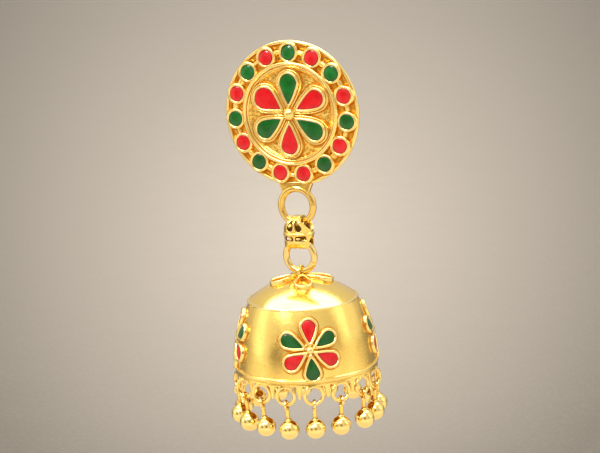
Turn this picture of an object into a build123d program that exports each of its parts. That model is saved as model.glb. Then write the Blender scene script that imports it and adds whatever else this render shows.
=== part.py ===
"""Jhumka earring: enamelled stud, openwork link, jump ring and bell with 16 ghungroo drops.

Millimetres, +Z up. The origin is where the ear sits: on the post's axis, against the stud's
back face. The stud faces -Y and its post runs along +Y. Everything hangs on one vertical
line below the stud, in the plane y = Y_HANG.
"""

import math
import os

from build123d import *

# ---------------------------------------------------------------- stud
STUD_R = 11.1            # outer radius over the rim wire
STUD_TURN = 1.75         # the ornament sits turned clockwise by this much
GROUND_D = 1.20          # height of the domed ground at the middle, over the back face
GROUND_EDGE_D = 0.45     # height of the ground where it meets the rim wire
RIM_WIRE_R = 0.30
RIM_WIRE_D = 0.52
INNER_WIRE = 7.62        # radius of the raised ring round the flower
INNER_WIRE_R = 0.30
INNER_WIRE_D = 1.22
THIN_WIRE = 7.16         # lower thin wire just inside it
THIN_WIRE_R = 0.15
THIN_WIRE_D = 1.10
DOT_COUNT = 15
DOT_RING = 9.32          # centres of the round cells
DOT_FILL_R = 1.12
DOT_CELL_R = 1.60
DOT_TOP_D = 1.30
DOT_FLOOR_D = 0.85
DOT_FILL_D = 1.22
PETAL_TOP_D = 1.72
PETAL_STEP_D = 1.42
PETAL_FLOOR_D = 1.15
PETAL_FILL_D = 1.62
PETAL_WALL = 0.42
PETAL_STEP = 0.70
KNOB_R = 1.00
KNOB_D = 1.25

# round cells, clockwise from the top: number, colour
DOTS = [
    (0, "green"), (1, "red"), (2, "green"), (3, "red"), (4, "green"),
    (5, "red"), (6, "green"), (7, "red"), (8, "red"), (9, "green"),
    (10, "red"), (11, "green"), (12, "red"), (13, "green"), (14, "red"),
]
# petal cells, clockwise from the top: angle, colour, fill's length, fill's width, tip's distance
STUD_PETALS = [
    (0, "green", 4.45, 2.66, 1.62),
    (61, "red", 4.70, 2.62, 1.60),
    (121, "green", 4.60, 2.60, 1.62),
    (180, "red", 4.45, 2.66, 1.66),
    (239, "green", 4.40, 2.66, 1.66),
    (300, "red", 4.62, 3.20, 1.62),
]

# ---------------------------------------------------------------- post
POST_R = 0.40
POST_LENGTH = 10.5
POST_PAD_R = 1.5
POST_PAD_T = 0.4

# ---------------------------------------------------------------- the two rings and the link
Y_HANG = -0.56           # plane of both rings
TOP_RING_Z = -14.24
TOP_RING_R = 2.68        # to the wire's centre line
TOP_RING_WIRE = 0.535
SEAT_Z = -11.25          # solder seat between the stud's edge and the ring
SEAT_TOP = 5.6
SEAT_LOW = 4.2
JUMP_Z = -22.15
JUMP_R = 2.36
JUMP_WIRE = 0.515
LINK_TOP = -15.70
LINK_BOTTOM = -20.85
LINK_HALF_WIDTH = 2.36   # the barrel's plan is an ellipse
LINK_HALF_DEPTH = 1.92
LINK_CORNER = 1.55       # seen from the side, its four corners are rounded
LINK_WALL = 0.62
LINK_PLAY = 0.05         # between the link and the wires of both rings
LINK_RIDGE_Z = -18.47
LINK_RIDGE_H = 0.34
LINK_RIDGE_OUT = 0.14
# the link's outline seen from the front: height, half width
LINK_OUTLINE = [
    (-15.70, 0.72), (-16.25, 0.80), (-16.75, 1.50), (-17.35, 2.10), (-17.90, 2.30),
    (-18.45, 2.36), (-19.50, 2.33), (-20.30, 2.10), (-20.85, 1.70),
]
# leaf-shaped openings through its front and back walls: point's x, point's z, turn, length, width
LINK_LEAVES = [
    (0.24, -16.18, 161, 1.92, 1.04),
    (-0.24, -16.18, 199, 1.92, 1.04),
]
# openings under the ridge: middle's x, middle's z, width, height
LINK_SLOTS = [
    (0.95, -19.13, 1.68, 0.72),
    (-0.95, -19.13, 1.68, 0.72),
]
# arches in its left and right sides, where the two rings pass: middle's z, half width, from x
LINK_ARCH_TOP = (-16.55, 1.30, 0.92)
LINK_ARCH_LOW = (-19.95, 0.90, 1.26)

# ---------------------------------------------------------------- bell
DECOR_AZ = 28.6          # the front flower looks this far round from -Y towards +X
APEX_Z = -25.55
SHOULDER_Z = -28.72
SHOULDER_R = 8.50
BAND_ARC_R = 30.0        # the band bulges on an arc of this radius
BAND_END_Z = -39.30
BAND_END_R = 10.93
WALL = 0.60
SHOULDER_BEAD_R = 0.20
RIM_BEAD_Z = -39.02
RIM_BEAD_R = 0.36
RIM_BEAD_AT = 10.86
LOW_WIRE_Z = -39.66
LOW_WIRE_R = 0.22
LOW_WIRE_AT = 10.86
EYE_R = 0.90             # eye over the apex, to its wire's centre line
EYE_WIRE = 0.24
EYE_Z = -24.60
GRANULE_R = 0.42
SWING_ROOM = 0.12        # between the crown and the jump ring's wire

# crown of four empty drop-shaped cells lying on the cap: length, width, from the axis, slope
CROWN_LENGTH = 4.08
CROWN_WIDTH = 3.00
CROWN_WALL = 0.46
CROWN_HEIGHT = 1.00
CROWN_FROM = 0.95
CROWN_SLOPE = 13.0
CROWN_LIFT = 0.31
CROWN_LEAF_LENGTH = 4.30 # pointed leaf under each cell, its point outwards
CROWN_LEAF_WIDTH = 3.20
CROWN_LEAF_TIP = 5.50     # from the axis
CROWN_LEAF_TOP = -0.08

FLOWER_MID_Z = -34.43
FLOWER_COUNT = 4
FLOWER_FILL_LENGTH = 3.40
FLOWER_FILL_WIDTH = 1.92
FLOWER_TIP = 1.15
FLOWER_WALL = 0.44
FLOWER_HEIGHT = 0.56     # over the band
FLOWER_FLOOR = 0.12
FLOWER_FILL_TOP = 0.46
FLOWER_KNOB_R = 0.60
FLOWER_BASE_R = 1.12
FLOWER_BASE_H = 0.34
FLOWER_KNOB_OUT = 0.06
# a flower's petals, clockwise from the top: angle, colour, length factor, width factor
FLOWER_PETALS = [
    (0, "red", 0.98, 1.00),
    (60, "green", 0.90, 0.98),
    (118, "red", 0.96, 1.00),
    (177, "green", 0.96, 1.00),
    (238, "red", 0.96, 1.02),
    (296, "green", 1.00, 1.03),
]

# ---------------------------------------------------------------- loops and drops under the rim
LOOP_COUNT = 16
LOOP_AZ0 = 29.2
LOOP_AT = 10.85
LOOP_Z = -41.25
LOOP_R = 1.39            # to the wire's centre line
LOOP_WIRE = 0.29
TONGUE_TOP = 1.05        # the tapering tongues between the loops
TONGUE_END = 0.40
TONGUE_LENGTH = 2.20
TONGUE_T = 0.44

DROP_EYE_R = 0.60
DROP_EYE_WIRE = 0.22
STEM_R = 0.30
COLLAR_R = 0.48
BALL_R = 1.50
BALL_BELOW = 3.86        # ball's centre under the eye's centre

# one row for each loop, by azimuth: number, loop's turn about the vertical,
# drop's swing through the loop, drop's lean along the rim
LOOPS = [
    (1, 2, 1.5, 0.0),
    (2, 0, 2.0, 3.0),
    (3, 0, -1.0, -1.5),
    (4, -18, 2.0, 2.0),
    (5, -6, 0.0, 1.5),
    (6, 5, -2.0, -2.0),
    (7, 0, 1.5, 2.5),
    (8, -7, 1.0, 0.0),
    (9, 4, -1.5, -1.5),
    (10, 8, 2.5, 1.0),
    (11, -4, 0.0, -2.5),
    (12, 6, -1.0, 2.0),
    (13, 16, 1.0, -1.0),
    (14, 30, -2.0, -8.0),
    (15, 16, 1.5, -6.0),
    (16, -2, -1.0, -4.3),
]


# ---------------------------------------------------------------- shapes shared by the ornament
def drop_sketch(length, width, grow=0.0):
    """Drop-shaped outline, point at the origin, round end towards +Y, grown by grow all round."""
    small = width / 2
    reach = length - small
    side = small * 8.0
    cy = (reach**2 + 2 * side * small - small**2) / (2 * reach)
    cx = math.sqrt(side**2 - cy**2)
    big = side + grow
    round_r = small + grow
    # where the side arc meets the round end
    ux, uy = cx / (side - small), (reach - cy) / (side - small)
    tx, ty = round_r * ux, reach + round_r * uy
    tip = cy - math.sqrt(big**2 - cx**2)
    mid_angle = (math.atan2(tip - cy, cx) + math.atan2(ty - cy, tx + cx)) / 2
    mx, my = -cx + big * math.cos(mid_angle), cy + big * math.sin(mid_angle)
    edges = [
        ThreePointArc((0, tip), (mx, my), (tx, ty)),
        ThreePointArc((tx, ty), (0, reach + round_r), (-tx, ty)),
        ThreePointArc((-tx, ty), (-mx, my), (0, tip)),
    ]
    return make_face(Curve() + edges)


def prism(face, plane, low, high):
    """The face drawn on the plane, as a prism from low to high along its normal."""
    placed = Plane(plane.origin + plane.z_dir * low, x_dir=plane.x_dir, z_dir=plane.z_dir)
    return extrude(placed * face, amount=high - low, dir=plane.z_dir)


def fillet_top(solid, plane, radius):
    """Rounds the edges of a prism's highest face, if they take that radius."""
    top = solid.faces().sort_by(Axis(plane.origin, plane.z_dir))[-1]
    try:
        return fillet(top.edges(), radius)
    except Exception:
        return solid


def torus(plane, ring_r, wire_r):
    return plane * Torus(ring_r, wire_r)


def one_solid(shape, name):
    solids = shape.solids()
    if len(solids) != 1:
        print("note", name, "has", len(solids), "solids")
    return solids[0] if len(solids) == 1 else Compound(children=list(solids))


def save(name, shapes):
    solids = []
    for shape in shapes if isinstance(shapes, list) else [shapes]:
        solids += list(shape.solids())
    out = solids[0] if len(solids) == 1 else Compound(children=solids)
    out.label = name
    export_step(out, f"parts/{name}.step")


# ---------------------------------------------------------------- stud
FRONT = Plane((0, 0, 0), x_dir=(1, 0, 0), z_dir=(0, -1, 0))


def front_plane(x, z, turn):
    """A plane on the stud's back face, facing -Y, its own +Y turned clockwise from up."""
    a = math.radians(turn)
    return Plane((x, 0, z), x_dir=(math.cos(a), 0, -math.sin(a)), z_dir=(0, -1, 0))


def stud_petal_plane(angle, tip):
    a = math.radians(angle + STUD_TURN)
    return front_plane(tip * math.sin(a), tip * math.cos(a), angle + STUD_TURN)


def dot_plane(number):
    angle = STUD_TURN + number * 360 / DOT_COUNT
    a = math.radians(angle)
    return front_plane(DOT_RING * math.sin(a), DOT_RING * math.cos(a), angle)


def make_stud():
    rim_at = STUD_R - RIM_WIRE_R
    profile = make_face(Curve() + [
        Line((0, 0), (rim_at, 0)),
        Line((rim_at, 0), (rim_at, -GROUND_EDGE_D)),
        ThreePointArc(
            (rim_at, -GROUND_EDGE_D),
            (rim_at / 2, -GROUND_D + (GROUND_D - GROUND_EDGE_D) * 0.25),
            (0, -GROUND_D),
        ),
        Line((0, -GROUND_D), (0, 0)),
    ])
    plate = revolve(profile, Axis.Y, 360)

    def ring(at, wire, depth):
        return torus(Plane((0, -depth, 0), x_dir=(1, 0, 0), z_dir=(0, -1, 0)), at, wire)

    plate += ring(rim_at, RIM_WIRE_R, RIM_WIRE_D)
    # the band that both inner wires stand on
    base_out, base_in = INNER_WIRE + 0.12, THIN_WIRE - 0.06
    base = prism(Circle(base_out), FRONT, 0.4, THIN_WIRE_D) - prism(Circle(base_in), FRONT, 0, 3)
    plate += base
    plate += ring(INNER_WIRE, INNER_WIRE_R, INNER_WIRE_D)
    plate += ring(THIN_WIRE, THIN_WIRE_R, THIN_WIRE_D)
    # the round cells
    for number, _ in DOTS:
        plane = dot_plane(number)
        cell = prism(Circle(DOT_CELL_R), plane, 0.2, DOT_TOP_D)
        plate += fillet_top(cell, plane, 0.16)
    # the petal cells: a low step and a higher wall on it
    for angle, _, length, width, tip in STUD_PETALS:
        plane = stud_petal_plane(angle, tip)
        plate += prism(drop_sketch(length, width, PETAL_STEP), plane, 0.4, PETAL_STEP_D)
        wall = prism(drop_sketch(length, width, PETAL_WALL), plane, 0.4, PETAL_TOP_D)
        plate += fillet_top(wall, plane, 0.14)
    plate += Pos(0, -KNOB_D, 0) * Sphere(KNOB_R)
    for number, _ in DOTS:
        plate -= prism(Circle(DOT_FILL_R + 0.02), dot_plane(number), DOT_FLOOR_D, DOT_TOP_D + 1)
    for angle, _, length, width, tip in STUD_PETALS:
        plane = stud_petal_plane(angle, tip)
        plate -= prism(drop_sketch(length, width, 0.02), plane, PETAL_FLOOR_D, PETAL_TOP_D + 1)
    # the ring soldered under the stud, with its solder pads
    hang = Plane((0, Y_HANG, TOP_RING_Z), x_dir=(1, 0, 0), z_dir=(0, -1, 0))
    hanger = torus(hang, TOP_RING_R, TOP_RING_WIRE)
    seat = Plane((0, 0, SEAT_Z), x_dir=(1, 0, 0), z_dir=(0, -1, 0))
    solder = make_face(Polyline(
        (-SEAT_TOP / 2, 0.55), (SEAT_TOP / 2, 0.55), (SEAT_LOW / 2, -0.95), (-SEAT_LOW / 2, -0.95),
        close=True))
    solder = prism(solder, seat, 0.15, 0.86) - prism(
        Circle(TOP_RING_R), Plane((0, 0, TOP_RING_Z), x_dir=(1, 0, 0), z_dir=(0, -1, 0)), 0, 2)
    hanger = hanger + solder
    plate = plate + hanger
    return plate


def make_stud_fills():
    fills = {}
    for number, colour in DOTS:
        plane = dot_plane(number)
        fill = prism(Circle(DOT_FILL_R), plane, DOT_FLOOR_D + 0.01, DOT_FILL_D)
        fills.setdefault("stud_dots_" + colour, []).append(fillet_top(fill, plane, 0.10))
    for angle, colour, length, width, tip in STUD_PETALS:
        plane = stud_petal_plane(angle, tip)
        fill = prism(drop_sketch(length, width), plane, PETAL_FLOOR_D + 0.01, PETAL_FILL_D)
        fills.setdefault("stud_petals_" + colour, []).append(fillet_top(fill, plane, 0.10))
    return fills


def make_post():
    back = Plane((0, 0, 0), x_dir=(1, 0, 0), z_dir=(0, 1, 0))
    pad = fillet_top(prism(Circle(POST_PAD_R), back, 0, POST_PAD_T), back, 0.12)
    shank = prism(Circle(POST_R), back, 0, POST_LENGTH)
    return pad + fillet_top(shank, back, 0.25)


# ---------------------------------------------------------------- link and jump ring
def make_link():
    tall = LINK_TOP - LINK_BOTTOM
    through = 2 * LINK_HALF_DEPTH + 2
    back_y = Y_HANG + LINK_HALF_DEPTH + 1
    back = Plane((0, back_y, 0), x_dir=(1, 0, 0), z_dir=(0, -1, 0))
    side_plane = Plane((-4, Y_HANG, (LINK_TOP + LINK_BOTTOM) / 2), x_dir=(0, 1, 0), z_dir=(1, 0, 0))

    def barrel(inset):
        plan = Plane((0, Y_HANG, LINK_BOTTOM - 0.5), x_dir=(1, 0, 0), z_dir=(0, 0, 1))
        upright = extrude(
            plan * Ellipse(LINK_HALF_WIDTH - inset, LINK_HALF_DEPTH - inset),
            amount=tall + 1, dir=(0, 0, 1),
        )
        sideways = extrude(
            side_plane * RectangleRounded(
                2 * (LINK_HALF_DEPTH - inset), tall - 2 * inset, LINK_CORNER - inset),
            amount=8, dir=(1, 0, 0),
        )
        return upright & sideways

    side = [(w, z) for z, w in LINK_OUTLINE]
    outline = [*side, *[(-w, z) for w, z in reversed(side)]]
    shell = barrel(0) & prism(make_face(Polyline(*outline, close=True)), back, 0, through)
    shell -= barrel(LINK_WALL)
    # raised ridge round the waist
    waist = Plane((0, Y_HANG, LINK_RIDGE_Z - LINK_RIDGE_H / 2), x_dir=(1, 0, 0), z_dir=(0, 0, 1))
    outer = Ellipse(LINK_HALF_WIDTH + LINK_RIDGE_OUT, LINK_HALF_DEPTH + LINK_RIDGE_OUT)
    inner = Ellipse(LINK_HALF_WIDTH - 0.3, LINK_HALF_DEPTH - 0.3)
    shell += prism(outer, waist, 0, LINK_RIDGE_H) - prism(inner, waist, -1, LINK_RIDGE_H + 1)
    # the front wall is pierced, the back wall is plain
    for x, z, turn, length, width in LINK_LEAVES:
        a = math.radians(turn)
        leaf = Plane((x, back_y, z), x_dir=(math.cos(a), 0, -math.sin(a)), z_dir=(0, -1, 0))
        shell -= prism(drop_sketch(length, width), leaf, LINK_HALF_DEPTH + 1, through)
    for x, z, width, height in LINK_SLOTS:
        slot = Plane((x, back_y, z), x_dir=(1, 0, 0), z_dir=(0, -1, 0))
        shell -= prism(RectangleRounded(width, height, 0.28), slot, LINK_HALF_DEPTH + 1, through)
    # the arches that let the rings through
    for (z, half, from_x), away in ((LINK_ARCH_TOP, 1), (LINK_ARCH_LOW, -1)):
        for hand in (1, -1):
            x = hand * (from_x + 2)
            shell -= Pos(x, Y_HANG, z) * Rot(0, 90, 0) * Cylinder(half, 4)
            shell -= Pos(x, Y_HANG, z + away) * Box(4, 2 * half, 2)
    # both cross bars follow the ring wires that they bear on
    for ring_z, hole_r, low, high in (
        (TOP_RING_Z, TOP_RING_R - TOP_RING_WIRE - LINK_PLAY, -17.6, -15.0),
        (JUMP_Z, JUMP_R - JUMP_WIRE - LINK_PLAY, -21.5, -19.3),
    ):
        slab = Pos(0, Y_HANG, (low + high) / 2) * Box(8, 1.30, high - low)
        hole = Pos(0, Y_HANG, ring_z) * Rot(90, 0, 0) * Cylinder(hole_r, 3)
        shell -= slab - hole
    return shell


def make_jump_ring():
    return torus(
        Plane((0, Y_HANG, JUMP_Z), x_dir=(1, 0, 0), z_dir=(0, -1, 0)), JUMP_R, JUMP_WIRE
    )


# ---------------------------------------------------------------- bell
def band_circle():
    """Centre (radius, height) of the arc that the band's outer wall follows."""
    ax, az, bx, bz = SHOULDER_R, SHOULDER_Z, BAND_END_R, BAND_END_Z
    mx, mz = (ax + bx) / 2, (az + bz) / 2
    half = math.hypot(bx - ax, bz - az) / 2
    back = math.sqrt(BAND_ARC_R**2 - half**2)
    ux, uz = (az - bz) / (2 * half), (bx - ax) / (2 * half)
    return mx - back * ux, mz - back * uz


BAND_X, BAND_Z = band_circle()


def band_radius(z):
    return BAND_X + math.sqrt(BAND_ARC_R**2 - (z - BAND_Z) ** 2)


def around(az, radius, z):
    a = math.radians(az)
    return (radius * math.sin(a), Y_HANG - radius * math.cos(a), z)


def band_plane(az, arc):
    """Tangent plane of the band's wall, arc millimetres above (+) the flower's middle along it."""
    base = math.asin((FLOWER_MID_Z - BAND_Z) / BAND_ARC_R)
    lean = base + arc / BAND_ARC_R
    radius = BAND_X + BAND_ARC_R * math.cos(lean)
    z = BAND_Z + BAND_ARC_R * math.sin(lean)
    a = math.radians(az)
    normal = (math.cos(lean) * math.sin(a), -math.cos(lean) * math.cos(a), math.sin(lean))
    return Plane(around(az, radius, z), x_dir=(math.cos(a), math.sin(a), 0), z_dir=normal)


def petal_plane(flower_az, angle, length):
    """Plane tangent to the band under the middle of one petal, origin at the petal's point."""
    a = math.radians(angle)
    middle = FLOWER_TIP + length * 0.58
    across, up = middle * math.sin(a), middle * math.cos(a)
    base = band_plane(flower_az, up)
    radius = math.hypot(base.origin.X, base.origin.Y - Y_HANG)
    plane = band_plane(flower_az + math.degrees(across / radius), up)
    # turn in its own plane so that the petal points away from the flower's middle
    along = plane.y_dir * math.cos(a) + plane.x_dir * math.sin(a)
    side = plane.x_dir * math.cos(a) - plane.y_dir * math.sin(a)
    return Plane(plane.origin - along * (length * 0.58), x_dir=side, z_dir=plane.z_dir)


def flower_fill(flower_az, row):
    angle, _, long, wide = row
    length, width = FLOWER_FILL_LENGTH * long, FLOWER_FILL_WIDTH * wide
    plane = petal_plane(flower_az, angle, length)
    fill = prism(drop_sketch(length, width), plane, FLOWER_FLOOR + 0.01, FLOWER_FILL_TOP)
    return fillet_top(fill, plane, 0.08)


def make_bell():
    cap_r = (SHOULDER_R**2 + (APEX_Z - SHOULDER_Z) ** 2) / (2 * (APEX_Z - SHOULDER_Z))
    cap_z = APEX_Z - cap_r
    inner_cap = cap_r - WALL
    inner_band = BAND_ARC_R - WALL

    def cap_point(radius_of_cap, at):
        return (at, cap_z + math.sqrt(radius_of_cap**2 - at**2))

    def band_point(radius_of_arc, z):
        return (BAND_X + math.sqrt(radius_of_arc**2 - (z - BAND_Z) ** 2), z)

    shoulder_in_r = SHOULDER_R - WALL * 0.92
    inner_corner = cap_point(inner_cap, shoulder_in_r)
    low_z = BAND_END_Z
    profile = make_face(Curve() + [
        Line((0, APEX_Z), (0, cap_z + inner_cap)),
        ThreePointArc((0, cap_z + inner_cap), cap_point(inner_cap, shoulder_in_r / 2), inner_corner),
        ThreePointArc(
            inner_corner,
            band_point(inner_band + 0.02, (inner_corner[1] + low_z) / 2),
            band_point(inner_band, low_z),
        ),
        Line(band_point(inner_band, low_z), (BAND_END_R, low_z)),
        ThreePointArc(
            (BAND_END_R, low_z), band_point(BAND_ARC_R, (SHOULDER_Z + low_z) / 2),
            (SHOULDER_R, SHOULDER_Z),
        ),
        ThreePointArc((SHOULDER_R, SHOULDER_Z), cap_point(cap_r, SHOULDER_R / 2), (0, APEX_Z)),
    ])
    stand = Plane((0, Y_HANG, 0), x_dir=(1, 0, 0), z_dir=(0, -1, 0))
    bell = revolve(stand * profile, Axis((0, Y_HANG, 0), (0, 0, 1)), 360)

    def wire_round(at, z, wire):
        return torus(Plane((0, Y_HANG, z), x_dir=(1, 0, 0), z_dir=(0, 0, 1)), at, wire)

    bell += wire_round(SHOULDER_R - 0.04, SHOULDER_Z, SHOULDER_BEAD_R)
    bell += wire_round(RIM_BEAD_AT, RIM_BEAD_Z, RIM_BEAD_R)
    bell += wire_round(LOW_WIRE_AT, LOW_WIRE_Z, LOW_WIRE_R)
    # joins the two rim wires behind the groove
    bell += Pos(0, Y_HANG, (RIM_BEAD_Z + LOW_WIRE_Z) / 2) * (
        Cylinder(RIM_BEAD_AT + 0.12, 0.62) - Cylinder(RIM_BEAD_AT - 0.30, 2)
    )

    # flowers on the band
    for flower in range(FLOWER_COUNT):
        az = DECOR_AZ + flower * 360 / FLOWER_COUNT
        for row in FLOWER_PETALS:
            length, width = FLOWER_FILL_LENGTH * row[2], FLOWER_FILL_WIDTH * row[3]
            plane = petal_plane(az, row[0], length)
            wall = prism(drop_sketch(length, width, FLOWER_WALL), plane, -0.42, FLOWER_HEIGHT)
            bell += fillet_top(wall, plane, 0.12)
        middle = band_plane(az, 0)
        bell += Pos(*(middle.origin + middle.z_dir * FLOWER_KNOB_OUT)) * Sphere(FLOWER_KNOB_R)
        bell += prism(Circle(FLOWER_BASE_R), middle, -0.4, FLOWER_BASE_H)
        for row in FLOWER_PETALS:
            length, width = FLOWER_FILL_LENGTH * row[2], FLOWER_FILL_WIDTH * row[3]
            plane = petal_plane(az, row[0], length)
            bell -= prism(drop_sketch(length, width, 0.02), plane, FLOWER_FLOOR, FLOWER_HEIGHT + 1)

    # crown of empty cells on the cap
    for flower in range(FLOWER_COUNT):
        az = DECOR_AZ + flower * 360 / FLOWER_COUNT
        a, s = math.radians(az), math.radians(CROWN_SLOPE)
        out = Vector(math.sin(a) * math.cos(s), -math.cos(a) * math.cos(s), -math.sin(s))
        normal = Vector(math.sin(a) * math.sin(s), -math.cos(a) * math.sin(s), math.cos(s))
        start = Vector(0, Y_HANG, APEX_Z + CROWN_LIFT) + out * CROWN_FROM
        plane = Plane(start, x_dir=out.cross(normal), z_dir=normal)
        cell = prism(drop_sketch(CROWN_LENGTH - CROWN_WALL, CROWN_WIDTH - 2 * CROWN_WALL, CROWN_WALL),
                     plane, -0.34, CROWN_HEIGHT - 0.34)
        cell = fillet_top(cell, plane, 0.18)
        cell -= prism(drop_sketch(CROWN_LENGTH - CROWN_WALL, CROWN_WIDTH - 2 * CROWN_WALL),
                      plane, -0.08, 2)
        tip = Vector(0, Y_HANG, APEX_Z + CROWN_LIFT) + out * CROWN_LEAF_TIP
        leaf = Plane(tip, x_dir=normal.cross(out), z_dir=normal)
        bell += prism(drop_sketch(CROWN_LEAF_LENGTH, CROWN_LEAF_WIDTH), leaf, -0.50, CROWN_LEAF_TOP)
        bell += cell
    # room for the jump ring's wire, whichever way the bell swings on it
    bell -= Pos(0, Y_HANG, JUMP_Z - JUMP_R) * Rot(0, 90, 0) * Cylinder(JUMP_WIRE + SWING_ROOM, 4.4)
    bell += Pos(0, Y_HANG, APEX_Z + 0.02) * Sphere(GRANULE_R)
    eye = Plane((0, Y_HANG, EYE_Z), x_dir=(0, 1, 0), z_dir=(1, 0, 0))
    bell += torus(eye, EYE_R, EYE_WIRE)

    # loops and tongues under the rim
    for number, turn, _, _ in LOOPS:
        az = LOOP_AZ0 + (number - 1) * 360 / LOOP_COUNT
        bell += torus(loop_plane(az, turn), LOOP_R, LOOP_WIRE)
        half = az + 180 / LOOP_COUNT
        tongue = Plane(around(half, LOOP_AT, LOW_WIRE_Z + 0.05),
                       x_dir=(math.cos(math.radians(half)), math.sin(math.radians(half)), 0),
                       z_dir=(math.sin(math.radians(half)), -math.cos(math.radians(half)), 0))
        shape = make_face(Polyline(
            (-TONGUE_TOP / 2, 0), (TONGUE_TOP / 2, 0),
            (TONGUE_END / 2, -TONGUE_LENGTH), (-TONGUE_END / 2, -TONGUE_LENGTH), close=True))
        bell += prism(shape, tongue, -TONGUE_T / 2, TONGUE_T / 2)
    return bell


def loop_plane(az, turn):
    a = math.radians(az + turn)
    return Plane(around(az, LOOP_AT, LOOP_Z), x_dir=(math.cos(a), math.sin(a), 0),
                 z_dir=(math.sin(a), -math.cos(a), 0))


def make_drop(row):
    """One ghungroo: an eye round the loop's wire, a stem, a small collar and a ball."""
    number, turn, swing, lean = row
    az = LOOP_AZ0 + (number - 1) * 360 / LOOP_COUNT
    loop = loop_plane(az, turn)
    hold = loop.origin + loop.y_dir * (-LOOP_R)
    # local frame of the drop: x along the loop's plane, y through the loop, z up
    local = Plane(hold, x_dir=loop.x_dir, z_dir=(0, 0, 1))
    ball_z = -BALL_BELOW
    eye = Plane((0, 0, -0.03), x_dir=(0, 1, 0), z_dir=(1, 0, 0)) * Torus(DROP_EYE_R, DROP_EYE_WIRE)
    stem_top = -0.03 - DROP_EYE_R
    stem = Pos(0, 0, (stem_top + ball_z) / 2) * Cylinder(STEM_R, stem_top - ball_z)
    collar = Pos(0, 0, ball_z + BALL_R - 0.02) * Torus(COLLAR_R - 0.16, 0.16)
    drop = eye + stem + collar + Pos(0, 0, ball_z) * Sphere(BALL_R)
    return local * Rot(swing, lean, 0) * drop


# ---------------------------------------------------------------- write the pieces
os.makedirs("parts", exist_ok=True)

save("stud_plate", one_solid(make_stud(), "stud_plate"))
save("ear_post", make_post())
for name, shapes in make_stud_fills().items():
    save(name, shapes)
save("link", one_solid(make_link(), "link"))
save("jump_ring", make_jump_ring())
save("bell", one_solid(make_bell(), "bell"))
for flower, side in enumerate(["front", "right", "back", "left"]):
    az = DECOR_AZ + flower * 360 / FLOWER_COUNT
    for colour in ("red", "green"):
        save(f"bell_{side}_{colour}",
             [flower_fill(az, row) for row in FLOWER_PETALS if row[1] == colour])
for row in LOOPS:
    save(f"ghungroo_{row[0]:02d}", one_solid(make_drop(row), "ghungroo"))
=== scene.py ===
"""Looks of the jhumka earring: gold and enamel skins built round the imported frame.

Lengths below are millimetres in the row frame until a mesh is written, which is in metres.
"""

import math

import bmesh
import bpy
import numpy as np
from mathutils import Matrix, Vector


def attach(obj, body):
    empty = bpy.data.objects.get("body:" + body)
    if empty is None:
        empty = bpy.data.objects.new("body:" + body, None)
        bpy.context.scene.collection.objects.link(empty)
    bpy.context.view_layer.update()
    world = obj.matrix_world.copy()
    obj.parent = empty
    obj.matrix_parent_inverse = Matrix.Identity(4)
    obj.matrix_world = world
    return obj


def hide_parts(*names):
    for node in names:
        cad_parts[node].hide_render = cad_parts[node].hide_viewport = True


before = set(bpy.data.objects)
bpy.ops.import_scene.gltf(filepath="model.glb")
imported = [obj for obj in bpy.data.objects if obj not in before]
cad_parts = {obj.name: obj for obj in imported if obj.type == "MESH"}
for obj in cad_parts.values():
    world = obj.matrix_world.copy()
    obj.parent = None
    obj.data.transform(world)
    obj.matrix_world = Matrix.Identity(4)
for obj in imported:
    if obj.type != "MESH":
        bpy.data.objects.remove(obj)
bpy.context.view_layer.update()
MM = 0.001

# ---------------------------------------------------------------- sizes, as in the CAD source
Y_HANG = -0.56
STUD_R = 11.1
STUD_TURN = 1.75
RIM_AT, RIM_R, RIM_D = 10.8, 0.30, 0.52
INNER_AT, INNER_R, INNER_D = 7.62, 0.30, 1.22
THIN_AT, THIN_R, THIN_D = 7.16, 0.15, 1.10
DOT_RING, DOT_FILL_R, DOT_CELL_R, DOT_TOP, DOT_FILL = 9.32, 1.12, 1.60, 1.30, 1.22
DOTS = "GRGRGRGRRGRGRGR"
STUD_PETALS = [
    (0, "green", 4.45, 2.66, 1.62), (61, "red", 4.70, 2.62, 1.60), (121, "green", 4.60, 2.60, 1.62),
    (180, "red", 4.45, 2.66, 1.66), (239, "green", 4.40, 2.66, 1.66), (300, "red", 4.62, 3.20, 1.62),
]
PETAL_TOP, PETAL_STEP_TOP, PETAL_FILL = 1.72, 1.42, 1.62
PETAL_WALL, PETAL_STEP = 0.42, 0.70
KNOB_R, KNOB_D = 1.0, 1.25
TOP_RING_Z, TOP_RING_R, TOP_WIRE = -14.24, 2.68, 0.535
JUMP_Z, JUMP_R, JUMP_WIRE = -22.15, 2.36, 0.515
LINK_TOP, LINK_BOTTOM, LINK_CORNER, LINK_HALF_WIDTH, LINK_HALF_DEPTH = -15.70, -20.85, 1.55, 2.36, 1.92
LINK_OUTLINE = [
    (-15.70, 0.72), (-16.25, 0.80), (-16.75, 1.50), (-17.35, 2.10), (-17.90, 2.30),
    (-18.45, 2.36), (-19.50, 2.33), (-20.30, 2.10), (-20.85, 1.70),
]
DECOR_AZ = 28.6
APEX_Z, SHOULDER_Z, SHOULDER_R = -25.55, -28.72, 8.50
BAND_ARC_R, BAND_END_Z, BAND_END_R, WALL = 30.0, -39.30, 10.93, 0.60
RIM_BEAD_Z, RIM_BEAD_R, RIM_BEAD_AT = -39.02, 0.36, 10.86
LOW_WIRE_Z, LOW_WIRE_R = -39.66, 0.22
EYE_R, EYE_WIRE, EYE_Z, GRANULE_R = 0.90, 0.24, -24.60, 0.42
CROWN_LENGTH, CROWN_WIDTH, CROWN_WALL, CROWN_HEIGHT = 4.08, 3.00, 0.46, 1.00
CROWN_FROM, CROWN_SLOPE, CROWN_LIFT = 0.95, 13.0, 0.31
CROWN_LEAF_LENGTH, CROWN_LEAF_WIDTH, CROWN_LEAF_TIP, CROWN_LEAF_TOP = 4.30, 3.20, 5.50, -0.08
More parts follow.
